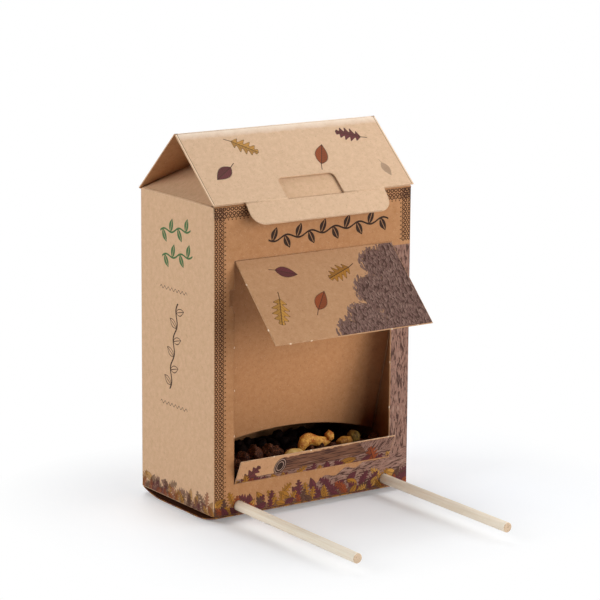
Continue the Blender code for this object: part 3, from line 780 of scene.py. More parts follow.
def crumb(name, light, dark, fleck, scale, flecks, gloss):
    # dry baked surface: two tones, pale flecks and pits
    paint = Paint(name)
    place = paint.place()
    lumps = paint.noise(place, scale, 4, 0.65)
    pits = paint.noise(place, scale * 4, 3, 0.6)
    color = paint.patch(tone(*dark), tone(*light), lumps, 0.36, 3.2)
    color = paint.patch(color, tone(*fleck), pits, 1 - flecks, 9, 0.85)
    roughness = paint.clamp(0.62 + (pits - 0.5) * 0.5)
    return paint.finish(color, roughness, lumps + pits * 0.6, 0.0004, 0.8, gloss)


finishes["rod"] = birch()
finishes["rodEnd"] = birchEnd()
for finish, row in crumbs.items():
    finishes[finish] = crumb(*row)
print("finishes made")


# Geometry helpers

def show(name, data):
    # puts a mesh, a camera or a lamp into the scene
    piece = bpy.data.objects.new(name, data)
    bpy.context.scene.collection.objects.link(piece)
    return piece


def toPiece(shape, name, materials):
    mesh = bpy.data.meshes.new(name)
    shape.to_mesh(mesh)
    shape.free()
    for material in materials:
        mesh.materials.append(material)
    return show(name, mesh)


def keep(shape, name, materials, body):
    # turns a bmesh into a finished piece that rides on a body
    piece = toPiece(shape, name, materials)
    if body:
        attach(piece, body)
    return piece


def creaseAt(jointName):
    return Vector(joints[jointName]["pos_m"])


def flatSheet(outlines):
    # a flat board at height 0 from its outline and the outlines of its holes
    shape = bmesh.new()
    for outline in outlines:
        corners = [shape.verts.new((x, y, 0)) for x, y in outline]
        for here, after in zip(corners, corners[1:] + corners[:1]):
            shape.edges.new((here, after))
    bmesh.ops.triangle_fill(shape, use_beauty=True, edges=shape.edges[:])
    bmesh.ops.recalc_face_normals(shape, faces=shape.faces[:])
    if sum(face.normal.z for face in shape.faces) < 0:
        bmesh.ops.reverse_faces(shape, faces=shape.faces[:])
    return shape


def sliceAcross(shape, spots):
    for spot in spots:
        everything = shape.verts[:] + shape.edges[:] + shape.faces[:]
        bmesh.ops.bisect_plane(shape, geom=everything, dist=1e-7, plane_co=(spot, 0, 0), plane_no=(1, 0, 0))


def extruded(shape):
    # gives an open sheet a second side, and returns that side's vertices
    raised = bmesh.ops.extrude_face_region(shape, geom=shape.faces[:])["geom"]
    return {item for item in raised if isinstance(item, bmesh.types.BMVert)}


def thicken(shape, thickness):
    # the sheet becomes the outer face, and the board lies below it
    top = extruded(shape)
    below = [vert for vert in shape.verts if vert not in top]
    bmesh.ops.translate(shape, verts=below, vec=(0, 0, -thickness))
    bmesh.ops.recalc_face_normals(shape, faces=shape.faces[:])


cuts = {
    "sharp": 50,  # degrees between two faces from which their edge counts as cut
    "edgeRound": 0.00016,
    "rimWidth": 0.0003,  # of the ring beside a cut: worn fibres, and on the pale boards also a painted highlight
    "mergeReach": 2e-6, "flatAngle": 0.4,  # what is taken as one vertex, and as one flat face in degrees
    # how squarely a face looks outwards, from 0 to 1, where it counts as the board's face
    "hintFace": 0.6, "wallFace": 0.7, "boardFace": 0.75, "rimFace": 0.9,
}


def softenRim(shape):
    sharp = radians(cuts["sharp"])
    rim = [edge for edge in shape.edges if edge.is_manifold and edge.calc_face_angle() > sharp]
    bmesh.ops.bevel(shape, geom=rim, offset=cuts["edgeRound"], segments=2, profile=0.5, affect="EDGES",
                    material=-1, clamp_overlap=True)


def rimRing(shape, outward):
    # a narrow ring of faces beside each cut of the outer side
    outer = [face for face in shape.faces if face.normal.dot(outward) > cuts["rimFace"]]
    ring = bmesh.ops.inset_region(shape, faces=outer, thickness=cuts["rimWidth"], use_boundary=True,
                                  use_even_offset=True)
    return ring["faces"]


def circlePoints(middle, radius, steps):
    angles = [2 * pi * i / steps for i in range(steps)]
    return [(middle[0] + radius * cos(a), middle[1] + radius * sin(a)) for a in angles]


# Carton walls: one sheet, bent round four creases and glued inside the left wall

walls = {
    "foldRadius": 0.0009, "foldSteps": 6,
    "notchHeight": 0.1248, "notchLength": 0.0096, "notchDepth": 0.0032, "notchTail": 0.0042,
    "windowGap": 0.0005,
    "rodHole": 0.0033, "rodHoleSteps": 28,
    "seamTaper": 0.003,
    "finishes": ["left", "front", "right", "back", "inside", "edge", "paleRimWornAndLit", "warmRim"],
}

frontLow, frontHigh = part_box("front_panel")
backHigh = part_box("back_panel")[1]
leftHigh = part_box("left_panel")[1]
seamLow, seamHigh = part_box("glue_flap")
awningLow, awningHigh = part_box("awning_flap")
rodLow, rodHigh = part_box("perch_rod_right")
board = frontHigh.y - frontLow.y
wallFoot = frontLow.z
wallHeight = creaseAt("inner_leaf_crease").z - wallFoot
halfWidth = frontHigh.x
foldRadius = walls["foldRadius"]
bendLength = foldRadius * pi / 2

# straight runs of the outer face: start, heading and length, in order round the carton
runs = [
    (Vector((-halfWidth, leftHigh.y)), Vector((0, -1)), leftHigh.y - frontLow.y - foldRadius),
    (Vector((foldRadius - halfWidth, frontLow.y)), Vector((1, 0)), 2 * (halfWidth - foldRadius)),
    (Vector((halfWidth, frontLow.y + foldRadius)), Vector((0, 1)), backHigh.y - frontLow.y - 2 * foldRadius),
    (Vector((halfWidth - foldRadius, backHigh.y)), Vector((-1, 0)), halfWidth - seamLow.x - 2 * foldRadius),
    (Vector((seamLow.x, backHigh.y - foldRadius)), Vector((0, -1)), backHigh.y - foldRadius - seamLow.y),
]

# how far along the sheet each run starts, 0 being the middle of the front left crease
starts = [-bendLength / 2 - runs[0][2]]
for run in runs[:-1]:
    starts.append(starts[-1] + run[2] + bendLength)


def runAt(along, margin):
    return max(i for i in range(len(runs)) if i == 0 or along >= starts[i] - margin)


def wrapWalls(shape):
    for vert in shape.verts:
        along, height, lift = vert.co
        index = runAt(along, bendLength + 1e-7)
        start, heading, length = runs[index]
        past = along - starts[index]
        if past >= 0:
            outward = Vector((heading.y, -heading.x))
            spot = start + heading * past + outward * lift
        else:
            earlier, before, earlierLength = runs[index - 1]
            outward = Vector((before.y, -before.x))
            middle = earlier + before * earlierLength - outward * foldRadius
            outward.rotate(Matrix.Rotation((past + bendLength) / foldRadius, 2))
            spot = middle + outward * (foldRadius + lift)
        vert.co = (spot.x, spot.y, wallFoot + height)


def wallOutlines():
    backStart, backEnd = starts[3], starts[3] + runs[3][2]
    seamStart, seamEnd = starts[4], starts[4] + runs[4][2]
    backTop, seamFoot, seamTop = [z - wallFoot for z in (backHigh.z, seamLow.z, seamHigh.z)]
    taper = walls["seamTaper"]
    sheet = [
        (starts[0], 0), (backEnd, 0), (seamStart, seamFoot), (seamEnd, seamFoot + taper),
        (seamEnd, seamTop - taper), (seamStart, seamTop), (backEnd, backTop),
        (backStart, backTop), (backStart - foldRadius / 2, wallHeight), (starts[0], wallHeight),
    ]
    middle = starts[1] + halfWidth - foldRadius
    edge = awningHigh.x + walls["windowGap"]
    slot = edge + walls["notchDepth"]
    notch, notchTop = walls["notchHeight"], walls["notchHeight"] + walls["notchLength"]
    sill, head = creaseAt("lip_crease").z - wallFoot, creaseAt("awning_crease").z - wallFoot
    right = [
        (edge, sill), (edge, notch - walls["notchTail"]), (edge + walls["notchDepth"] / 2, notch),
        (slot, notch), (slot, notchTop), (edge, notchTop), (edge, head),
    ]
    window = [(middle + x, z) for x, z in right] + [(middle - x, z) for x, z in reversed(right)]
    rodX, rodZ = (rodLow.x + rodHigh.x) / 2, (rodLow.z + rodHigh.z) / 2 - wallFoot
    backMiddle = starts[3] + halfWidth - foldRadius
    holes = [circlePoints((center, rodZ), walls["rodHole"], walls["rodHoleSteps"])
             for center in (middle - rodX, middle + rodX, backMiddle - rodX, backMiddle + rodX)]
    return [sheet, window, *holes]


def paintWalls(shape):
    # each face takes the print of the wall that it is on, from its place on the flat sheet
    inside, edge = walls["finishes"].index("inside"), walls["finishes"].index("edge")
    sheet = shape.loops.layers.uv.new("sheet")
    for face in shape.faces:
        wall = runAt(face.calc_center_median().x, bendLength / 2)
        if abs(face.normal.z) <= cuts["wallFace"]:
            face.material_index = edge
        else:
            face.material_index = wall if face.normal.z > 0 and wall < inside else inside
        origin = (0, 0, starts[2] - bendLength / 2, starts[3] - bendLength / 2, starts[4])[wall]
        for loop in face.loops:
            loop[sheet].uv = (loop.vert.co.x - origin, loop.vert.co.y)


def cartonWalls():
    steps, names = walls["foldSteps"], walls["finishes"]
    shape = flatSheet(wallOutlines())
    sliceAcross(shape, [start - bendLength * i / steps for start in starts[1:] for i in range(steps + 1)])
    thicken(shape, board)
    softenRim(shape)
    rim = rimRing(shape, Vector((0, 0, 1)))
    paintWalls(shape)
    for face in rim:
        onFront = face.material_index == names.index("front")
        face.material_index = names.index("warmRim" if onFront else "paleRimWornAndLit")
    for face in shape.faces:
        along = face.calc_center_median().x
        inBend = any(start - bendLength < along < start for start in starts[1:])
        face.smooth = inBend or face.material_index == names.index("edge")
    wrapWalls(shape)
    piece = keep(shape, "carton_walls", [finishes[name] for name in names], "root")
    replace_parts(piece, "front_panel", "left_panel", "right_panel", "back_panel", "glue_flap")


# Flaps and panels, taken from the frame and finished as cut board

eastward, northward = Vector((1, 0, 0)), Vector((0, 1, 0))

flaps = [
    # node, piece, body, slot, crease, direction across, rough outward direction, direction along,
    # then the finishes of the outer side, the inner side, the cut edge and the rim beside it, worn and partly
    # a painted highlight
    ("awning_flap", "awning", "awning", "printed_board", "awning_crease", eastward, (0, -1, 1), -1,
     ("awning", "inside", "edgeWarm", "warmRim")),
    ("lower_lip", "window_lip", "lip", "printed_board", "lip_crease", eastward, (0, -1, 0), 1,
     ("lip", "inside", "edge", "warmRim")),
    ("roof_back_panel", "roof_back", "lid_back", "printed_board", "ridge_crease", eastward, (0, 1, 1), 1,
     ("roofBack", "inside", "edge", "paleRimWornAndLit")),
    ("roof_front_panel", "roof_front", "lid_front", "printed_board", "ridge_crease", eastward, (0, -1, 1), -1,
     ("roofFront", "inside", "edge", "paleRimWornAndLit")),
    ("roof_tuck_tongue", "roof_tongue", "tongue", "printed_board", "tongue_crease", eastward, (0, -1, 1), -1,
     ("roofPlain", "inside", "edge", "paleRimWornAndLit")),
    ("inner_roof_leaf", "roof_leaf", "inner_leaf", "plain_board", "inner_leaf_crease", eastward,
     (0, -1, 1), 1, ("pale", "inside", "edge", "paleRimWornAndLit")),
    ("gable_flap_left", "gable_left", "gable_left", "printed_board", "gable_crease_left", northward,
     (-1, 0, 0.6), 1, ("pale", "inside", "edge", "paleRimWornAndLit")),
    ("gable_flap_right", "gable_right", "gable_right", "printed_board", "gable_crease_right", northward,
     (1, 0, 0.6), -1, ("pale", "inside", "edge", "paleRimWornAndLit")),
]

linerFinish = ("inside", "inside", "edge", "warmRim")
# the inner side under the carton takes the painted shade
footFinish = ("foot", "paintedShade", "foot", "foot")
fixedBoards = [
    ("hopper_divider", eastward, (0, -1, 0.2), linerFinish),
    ("divider_flange", eastward, (0, -1, 0), linerFinish),
    ("divider_tab_left", northward, (-1, 0, 0), linerFinish),
    ("divider_tab_right", northward, (1, 0, 0), linerFinish),
    ("bottom_panel", eastward, (0, 0, -1), footFinish),
    ("bottom_side_flap_left", northward, (0, 0, -1), footFinish),
    ("bottom_side_flap_right", northward, (0, 0, -1), footFinish),
    ("bottom_tuck_flap", eastward, (0, 1, 0), ("pale", "inside", "edge", "warmRim")),
]


def softBoard(node, name, body, origin, across, hint, flip, names):
    # a merged copy of the node with softened cut edges; its print lies across and along from the origin
    shape = bmesh.new()
    shape.from_mesh(frame["nodes"][node].data)
    bmesh.ops.remove_doubles(shape, verts=shape.verts[:], dist=cuts["mergeReach"])
    bmesh.ops.dissolve_limit(shape, angle_limit=radians(cuts["flatAngle"]), verts=shape.verts[:],
                             edges=shape.edges[:])
    outward = Vector()
    for face in shape.faces:
        if face.normal.dot(Vector(hint)) > cuts["hintFace"]:
            outward += face.normal * face.calc_area()
    outward.normalize()
    along = outward.cross(across) * flip
    softenRim(shape)
    ring = rimRing(shape, outward)
    sheet = shape.loops.layers.uv.new("sheet")
    for face in shape.faces:
        facing = face.normal.dot(outward)
        face.material_index = 0 if facing > cuts["boardFace"] else 1 if facing < -cuts["boardFace"] else 2
        face.smooth = face.material_index == 2
        for loop in face.loops:
            offset = loop.vert.co - origin
            loop[sheet].uv = (offset.dot(across), offset.dot(along))
    for face in ring:
        face.material_index = 3
    piece = keep(shape, name, [finishes[finish] for finish in names], body)
    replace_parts(piece, node)
    return outward, along


def cutBoards():
    # outward direction, and direction along, of each flap
    made = {}
    for node, name, body, slot, crease, across, hint, flip, names in flaps:
        made[name] = softBoard(node, name, body, creaseAt(crease), across, hint, flip, names)
    for node, across, hint, names in fixedBoards:
        softBoard(node, node + "_board", "root", Vector(), across, hint, 1, names)
    return made


# Folds: short bends of board between a wall or panel and the flap that turns on it

folds = {
    "steps": 8, "gap": 0.0003, "leastInner": 0.00005, "blendReach": 0.95,
    "tongueSlot": 0.020,  # half the opening in the middle of the tongue's fold
    "turning": [
        # piece, crease, flap, its body, node as long as the fold, axis, first direction, side, finish
        ("awning_fold", "awning_crease", "awning", "awning", "awning_flap", eastward, (0, 1, 0), -1, "warm"),
        ("lip_fold", "lip_crease", "window_lip", "lip", "awning_flap", eastward, (0, 1, 0), -1, "warm"),
        ("leaf_fold", "inner_leaf_crease", "roof_leaf", "inner_leaf", "inner_roof_leaf", eastward,
         (0, -1, 0), 1, "warm"),
        ("gable_fold_left", "gable_crease_left", "gable_left", "gable_left", "gable_flap_left",
         northward, (-1, 0, 0), 1, "pale"),
        ("gable_fold_right", "gable_crease_right", "gable_right", "gable_right", "gable_flap_right",
         northward, (1, 0, 0), 1, "pale"),
    ],
}


def ringSector(name, center, axis, first, inner, outer, angle, low, high, finish):
    # board bent round a line: it starts on the first direction and turns by the angle
    first = Vector(first).normalized()
    shape = bmesh.new()
    corners = [center + axis * end + first * reach
               for end, reach in ((low, inner), (low, outer), (high, outer), (high, inner))]
    face = shape.faces.new([shape.verts.new(corner) for corner in corners])
    bmesh.ops.spin(shape, geom=[face], cent=center, axis=axis, dvec=(0, 0, 0), angle=angle,
                   steps=folds["steps"], use_merge=False, use_duplicate=False)
    bmesh.ops.remove_doubles(shape, verts=shape.verts[:], dist=1e-6)
    bmesh.ops.dissolve_degenerate(shape, edges=shape.edges[:], dist=1e-7)
    bmesh.ops.recalc_face_normals(shape, faces=shape.faces[:])
    sheet = shape.loops.layers.uv.new("sheet")
    for face in shape.faces:
        ends = abs(face.normal.dot(axis)) > 0.7
        away = face.calc_center_median() - center
        away -= axis * away.dot(axis)
        face.material_index = 2 if ends else 0 if face.normal.dot(away) > 0 else 1
        face.smooth = not ends
        for loop in face.loops:
            loop[sheet].uv = (loop.vert.co.dot(axis), 0)
    middle = first.copy()
    middle.rotate(Matrix.Rotation(angle / 2, 3, axis))
    sideways = axis.cross(middle) * (1 if angle > 0 else -1)
    reach = folds["blendReach"] * (inner or outer) * sin(abs(angle) / 2)
    piece = keep(shape, name, [finishes[finish], finishes["inside"], finishes["edge"]], None)
    center - sideways * reach
    center + sideways * reach
    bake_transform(piece)


def bendBetween(first, last, axis):
    # signed turn about the axis from one direction to the other
    return atan2(axis.dot(Vector(first).cross(last)), Vector(first).dot(last))


def relief(turn):
    # how far from a sharp crease two boards start that meet at this turn
    return (board * sin(turn) + folds["gap"]) / (1 + cos(turn))


def cornerFold(name, jointName, intoFirst, intoLast, turn, low, high, finish="roofPlain"):
    # a fold whose crease line is the sharp corner outside the bend
    apex, room = creaseAt(jointName), relief(turn)
    intoFirst, intoLast = Vector(intoFirst).normalized(), Vector(intoLast).normalized()
    half = acos(intoFirst.dot(intoLast)) / 2
    center = apex + (intoFirst + intoLast).normalized() * (room / cos(half))
    outer = room * tan(half)
    first, last = apex + intoFirst * room - center, apex + intoLast * room - center
    angle = bendBetween(first, last, eastward)
    inner = max(folds["leastInner"], outer - board)
    ringSector(name, center, eastward, first, inner, outer, angle, low, high, finish)


def downwards(line):
    return -line if line.z > 0 else line


def makeFolds(made):
    for name, crease, flap, body, node, axis, first, side, finish in folds["turning"]:
        low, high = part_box(node)
        angle = bendBetween(first, made[flap][0] * side, axis)
        ringSector(name, creaseAt(crease), axis, first, 0, board, angle, low.dot(axis), high.dot(axis),
                   finish)
    backLine, frontLine, tongueLine = [downwards(made[flap][1])
                                       for flap in ("roof_back", "roof_front", "roof_tongue")]
    low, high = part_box("roof_front_panel")
    cornerFold("ridge_fold", "ridge_crease", backLine, frontLine, pi - acos(backLine.dot(frontLine)),
               low.x, high.x, "ridge")
    cornerFold("back_eave_fold", "lid_crease", (0, 0, -1), -backLine, acos(-backLine.z),
               -halfWidth, halfWidth)
    low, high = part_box("roof_tuck_tongue")
    slot = folds["tongueSlot"]
    for side, start, end in (("left", low.x, -slot), ("right", slot, high.x)):
        cornerFold("tongue_fold_" + side, "tongue_crease", -frontLine, tongueLine, acos(-frontLine.z),
                   start, end)


# Torn nibs: pale tufts of fibre where the flaps were held in the perforated board

nibs = {
    "size": (0.00044, 0.00042, 0.0008),  # across, deep and along the cut
    "rough": 0.35, "detail": 2,
    "leftJamb": [0.1050, 0.0794, 0.0519],  # heights
    "rightJamb": [0.0819, 0.0538],
    "awningEdge": [-0.0457, -0.0312, 0.0256, 0.0443],  # across
    "awningSide": [0.0167, 0.0487],  # down from the crease
    "lipEdge": [-0.0326, -0.0064, 0.0502],
}


def tornNibs(made):
    upward = Vector((0, 0, 1))
    spots = []  # body, place, direction of the cut
    for side, reach in (("leftJamb", awningLow.x - walls["windowGap"]),
                        ("rightJamb", awningHigh.x + walls["windowGap"])):
        spots += [("root", Vector((reach, frontLow.y + board / 3, height)), upward) for height in nibs[side]]
    for name, body, crease, node, edge in (("awning", "awning", "awning_crease", "awning_flap", "awningEdge"),
                                           ("window_lip", "lip", "lip_crease", "lower_lip", "lipEdge")):
        outward, down = made[name]
        start = creaseAt(crease) - outward * (board / 3)
        length = max((vert.co - start).dot(down) for vert in frame["nodes"][node].data.vertices)
        spots += [(body, start + eastward * across + down * length, eastward) for across in nibs[edge]]
        if name == "awning":
            corner = start + eastward * awningLow.x
            spots += [(body, corner + down * far, down) for far in nibs["awningSide"]]
    for body in ("root", "awning", "lip"):
        shape = bmesh.new()
        for index, (owner, place, cut) in enumerate(spots):
            if owner == body:
                turn = cut.to_track_quat("Z", "Y")
                roughLump(shape, place, nibs["size"], turn, nibs["detail"], 5 + index, nibs["rough"])
        keep(shape, "torn_nibs_" + body, [finishes["tuft"]], body)


# Perch rods

perch = {"segments": 56, "rimRound": 0.0003, "rimSegments": 3}


def perchRod(side):
    low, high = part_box("perch_rod_" + side)
    radius = (high.x - low.x) / 2
    shape = bmesh.new()
    bmesh.ops.create_cone(shape, cap_ends=True, segments=perch["segments"], radius1=radius, radius2=radius,
                          depth=high.y - low.y, matrix=Matrix.Rotation(pi / 2, 4, "X"))
    rims = [edge for edge in shape.edges if edge.calc_face_angle() > radians(60)]
    bmesh.ops.bevel(shape, geom=rims, offset=perch["rimRound"], segments=perch["rimSegments"], profile=0.5,
                    affect="EDGES", material=-1)
    for face in shape.faces:
        face.material_index = 1 if abs(face.normal.y) > 0.9 else 0
        face.smooth = face.material_index == 0
    bmesh.ops.translate(shape, verts=shape.verts[:], vec=(low + high) / 2)
    piece = keep(shape, "perch_" + side, [finishes["rod"], finishes["rodEnd"]], "rod_" + side)
    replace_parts(piece, "perch_rod_" + side)


# Feed

feed = {
    "pitch": 0.0078, "size": 0.0096, "rows": 8, "columns": 16,
    "firstRow": 0.0050, "rowPitch": 1.1,
    "bed": 0.0275,  # height of the loose rows' middles, which lie lower behind the front row
    "sink": 0.0035, "sinkByRow": 0.6,
    "bedUnder": 0.001, "ripple": 0.0012, "rippleScale": 180,
    "clear": 1.3,  # half sizes that a lump, with its bumps, keeps from the front wall
    "jitter": (0.0014, 0.0012), "rise": (-0.0016, 0.0014),
    "sizes": (0.74, 1.12), "depths": (0.72, 1), "heights": (0.7, 0.95),
    "rough": 0.26, "frontDetail": 4, "backDetail": 3,
    "heapedRough": 0.30,
    "heapedShape": (0.5, 0.46, 0.42),  # half across, deep and high, as shares of the size
    "flapRoom": 0.0009, "rodRoom": 0.0004, "floorRoom": 0.001,
    # nuggets heaped up behind the lip: across, back from the front wall, middle height, size
    "heaped": [
        (-0.05, 0.0085, 0.0305, 0.01), (-0.0405, 0.012, 0.0325, 0.0105), (-0.0335, 0.011, 0.0352, 0.01),
        (-0.0265, 0.015, 0.0318, 0.0096), (-0.0225, 0.012, 0.0342, 0.0102), (-0.014, 0.017, 0.0312, 0.0094),
        (-0.006, 0.013, 0.0296, 0.009), (0.006, 0.012, 0.03, 0.0096), (0.014, 0.0125, 0.0302, 0.0096),
        (0.0225, 0.012, 0.0296, 0.0094), (0.031, 0.012, 0.028, 0.009), (0.044, 0.015, 0.0284, 0.0092),
        (0.055, 0.013, 0.0298, 0.009), (0.048, 0.008, 0.027, 0.0088),
    ],
    # small nuts among them: across, back, middle height, length, thickness, turn
    "smallNuts": [
        (0.0335, 0.014, 0.0318, 0.0125, 0.0058, 0.25), (0.0425, 0.017, 0.0328, 0.0092, 0.0074, 1.2),
    ],
    "finishes": ["nugget", "nutDark", "nutGreen", "nuggetFront"],
}


def roughLump(shape, spot, scale, turn, detail, seed, depth):
    made = bmesh.ops.create_icosphere(shape, subdivisions=detail, radius=1)["verts"]
    shift = Vector((seed, seed * 0.7, 0))
    for vert in made:
        bump = noise.noise(vert.co * 1.3 + shift) + 0.55 * noise.noise(vert.co * 3.1 + shift)
        if detail > 3:
            bump += 0.45 * noise.noise(vert.co * 7.3 + shift)
        vert.co *= 1 + depth * bump
    matrix = Matrix.LocRotScale(Vector(spot), turn, Vector(scale))
    bmesh.ops.transform(shape, matrix=matrix, verts=made)
    smoothen(made)


def smoothen(verts):
    for vert in verts:
        for face in vert.link_faces:
            face.smooth = True


def randomTurn():
    return Euler([random.uniform(0, 2 * pi) for _ in range(3)]).to_quaternion()


def feedBed(low, high):
    # a rippled slab under the nuggets
    shape = bmesh.new()
    bmesh.ops.create_grid(shape, x_segments=40, y_segments=24, size=1)
    middle, half = (low + high) / 2, (high - low) / 2
    bedTop = feed["bed"] - feed["sink"] - feed["bedUnder"]
    for vert in shape.verts:
        x, y = middle.x + vert.co.x * half.x, middle.y + vert.co.y * half.y
        vert.co = (x, y, bedTop + feed["ripple"] * noise.noise(Vector((x, y, 0)) * feed["rippleScale"]))
    top = extruded(shape)
    # its underside leaves room for the bottom panel, the rods and the side flaps
    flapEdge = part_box("bottom_side_flap_right")[0].x - feed["flapRoom"]
    rodTop, floorTop = rodHigh.z + feed["rodRoom"], wallFoot + board + feed["floorRoom"]
    for vert in shape.verts:
        if vert not in top:
            vert.co.z = rodTop if abs(vert.co.x) > flapEdge else floorTop
    bmesh.ops.recalc_face_normals(shape, faces=shape.faces[:])
    smoothen(shape.verts)
    return shape


def feedHeap():
    low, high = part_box("feed_bed")
    shape = feedBed(low, high)
    for row in range(feed["rows"]):
        for column in range(feed["columns"]):
            x = (column - (feed["columns"] - 1) / 2 + 0.5 * (row % 2) - 0.25) * feed["pitch"]
            y = low.y + feed["firstRow"] + row * feed["pitch"] * feed["rowPitch"]
            x += random.uniform(-1, 1) * feed["jitter"][0]
            y += random.uniform(-1, 1) * feed["jitter"][1]
            size = feed["size"] * random.uniform(*feed["sizes"]) / 2
            x = max(low.x + size, min(high.x - size, x))
            y = max(low.y + size * feed["clear"], min(high.y - size, y))
            z = feed["bed"] - feed["sink"] * min(1, row * feed["sinkByRow"]) + random.uniform(*feed["rise"])
            scale = (size, size * random.uniform(*feed["depths"]), size * random.uniform(*feed["heights"]))
            detail = feed["frontDetail"] if row == 0 else feed["backDetail"]
            roughLump(shape, (x, y, z), scale, randomTurn(), detail, random.uniform(0, 50), feed["rough"])
    deep = set(shape.faces)
    for across, back, height, size in feed["heaped"]:
        scale = [size * share for share in feed["heapedShape"]]
        spot, seed = (across, low.y + back, height), across * 900 + 60
        roughLump(shape, spot, scale, randomTurn(), feed["frontDetail"], seed, feed["heapedRough"])
    # the lumps deep in the heap take the darker nugget finish, painted shade
    for face in shape.faces:
        face.material_index = 0 if face in deep else feed["finishes"].index("nuggetFront")
    for index, (across, back, height, length, thickness, turn) in enumerate(feed["smallNuts"]):
        before = set(shape.faces)
        path = [(-length / 2, 0, 0), (0, 0, 0.0008), (length / 2, 0, -0.0004)]
        nutAlong(shape, Vector((across, low.y + back, height)), path, [thickness / 2] * 3, turn, 7 + index)
        for face in shape.faces:
            if face not in before:
                face.material_index = 1 + index
    piece = keep(shape, "feed_heap", [finishes[name] for name in feed["finishes"]], "root")
    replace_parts(piece, "feed_bed")


# Nuts

nutShapes = {
    # piece, finish, lift, turn, then the path's spots from the node's middle, and the half thickness at each
    "nut_bowed": ("nut_bowed_piece", "nut", 0, 0.12, [
        (-0.0142, -0.0022, -0.0058), (-0.0112, -0.0010, -0.0010), (-0.0062, 0.0004, 0.0014),
        (0.0004, 0, -0.0006), (0.0062, 0, -0.0022), (0.0108, -0.0006, -0.0012)],
        [0.0026, 0.0034, 0.0039, 0.0033, 0.0036, 0.0038]),
    "nut_pale": ("nut_pale_piece", "nutPale", 0.0018, 0.1, [
        (-0.0072, 0, -0.0010), (-0.0025, 0, 0.0003), (0.0025, 0, 0.0003), (0.0070, 0, -0.0006)],
        [0.0027, 0.0034, 0.0033, 0.0028]),
}

# the bowed nut's round end, placed from the nut's middle
knob = {"spot": (0.0104, 0, 0.0012), "size": (0.0032, 0.0029, 0.0027), "detail": 4, "seed": 12, "rough": 0.2}

# scale and reach of the dents in a nut's shell, and how far ahead its path is read for the heading
dents = {"coarse": (2.2, 0.16), "fine": (6.0, 0.06), "ahead": 0.02}


def smoothAlong(rows, share):
    # a smooth curve through rows of numbers; share runs from 0 to 1
    spot = share * (len(rows) - 1)
    index = min(int(spot), len(rows) - 2)
    part = spot - index
    first, last = Vector(rows[max(index - 1, 0)]), Vector(rows[min(index + 2, len(rows) - 1)])
    here, after = Vector(rows[index]), Vector(rows[index + 1])
    curve = (first * 2 - here * 5 + after * 4 - last) * part ** 2
    return (here * 2 + (after - first) * part + curve + (here * 3 - first - after * 3 + last) * part ** 3) / 2


def bluntEnd(height):
    # makes a sphere's poles, at heights -1 and 1, blunter
    if abs(height) >= 1:
        return 0
    return (1 - abs(height) ** 3) ** 0.5 / max(1e-6, (1 - height ** 2) ** 0.5)


def nutAlong(shape, middle, path, radii, turn, seed):
    # a sphere drawn out along a path, lumpy and dented like a shelled nut
    rows = [(*spot, radius) for spot, radius in zip(path, radii)]
    made = bmesh.ops.create_uvsphere(shape, u_segments=32, v_segments=28, radius=1)["verts"]
    for vert in made:
        share = (vert.co.z + 1) / 2
        x, y, z, radius = smoothAlong(rows, share)
        before, after = max(0, share - dents["ahead"]), min(1, share + dents["ahead"])
        ahead = smoothAlong(rows, after) - smoothAlong(rows, before)
        heading = Vector(ahead[:3]).normalized()
        up = heading.cross(northward).normalized()
        coarse = noise.noise(vert.co * dents["coarse"][0] + Vector((seed, 0, 0))) * dents["coarse"][1]
        fine = noise.noise(vert.co * dents["fine"][0] + Vector((0, seed, 0))) * dents["fine"][1]
        radius *= bluntEnd(vert.co.z) * (1 + coarse + fine)
        vert.co = Vector((x, y, z)) + (northward * vert.co.x - up * vert.co.y) * radius
    turning = Matrix.Translation(middle) @ Matrix.Rotation(turn, 4, "Z")
    bmesh.ops.transform(shape, matrix=turning, verts=made)
    smoothen(made)


def nuts():
    for node, (name, finish, lift, turn, path, radii) in nutShapes.items():
        low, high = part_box(node)
        middle = (low + high) / 2
        shape = bmesh.new()
        nutAlong(shape, middle + Vector((0, 0, lift)), path, radii, turn, 3)
        if node == "nut_bowed":
            spot = middle + Vector(knob["spot"])
            roughLump(shape, spot, knob["size"], randomTurn(), knob["detail"], knob["seed"], knob["rough"])
        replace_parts(keep(shape, name, [finishes[finish]], "root"), node)


cartonWalls()
made = cutBoards()
makeFolds(made)
tornNibs(made)
for side in ("left", "right"):
    perchRod(side)
feedHeap()
nuts()
print("pieces made")


# Camera at the photograph's place

camera = {
    "target": (0.0242, 0, 0.1291), "distance": 1.5954, "azimuth": -34.56, "elevation": 11.754,
    "roll": 0.461, "lens": 157.86, "sensor": 36, "shift": (-0.0149, -0.0338), "clip": (0.05, 50),
}


def aim(azimuth, elevation):
    # direction from the feeder to a place round it; azimuth 0 is in front, and 90 to the right
    turn, tilt = radians(azimuth), radians(elevation)
    return Vector((sin(turn) * cos(tilt), -cos(turn) * cos(tilt), sin(tilt)))


def placeCamera():
    turn, roll = radians(camera["azimuth"]), radians(camera["roll"])
    back = aim(camera["azimuth"], camera["elevation"])
    right = Vector((cos(turn), sin(turn), 0))
    up = back.cross(right)
    right, up = right * cos(roll) + up * sin(roll), up * cos(roll) - right * sin(roll)
    data = bpy.data.cameras.new("viewpoint")
    data.lens = camera["lens"]
    data.sensor_width = camera["sensor"]
    data.shift_x, data.shift_y = camera["shift"]
    data.clip_start, data.clip_end = camera["clip"]
    viewpoint = show("viewpoint", data)
    rotation = Matrix((right, up, back)).transposed().to_4x4()
    spot = Vector(camera["target"]) + back * camera["distance"]
    viewpoint.matrix_world = Matrix.Translation(spot) @ rotation
    bpy.context.scene.camera = viewpoint


# Studio

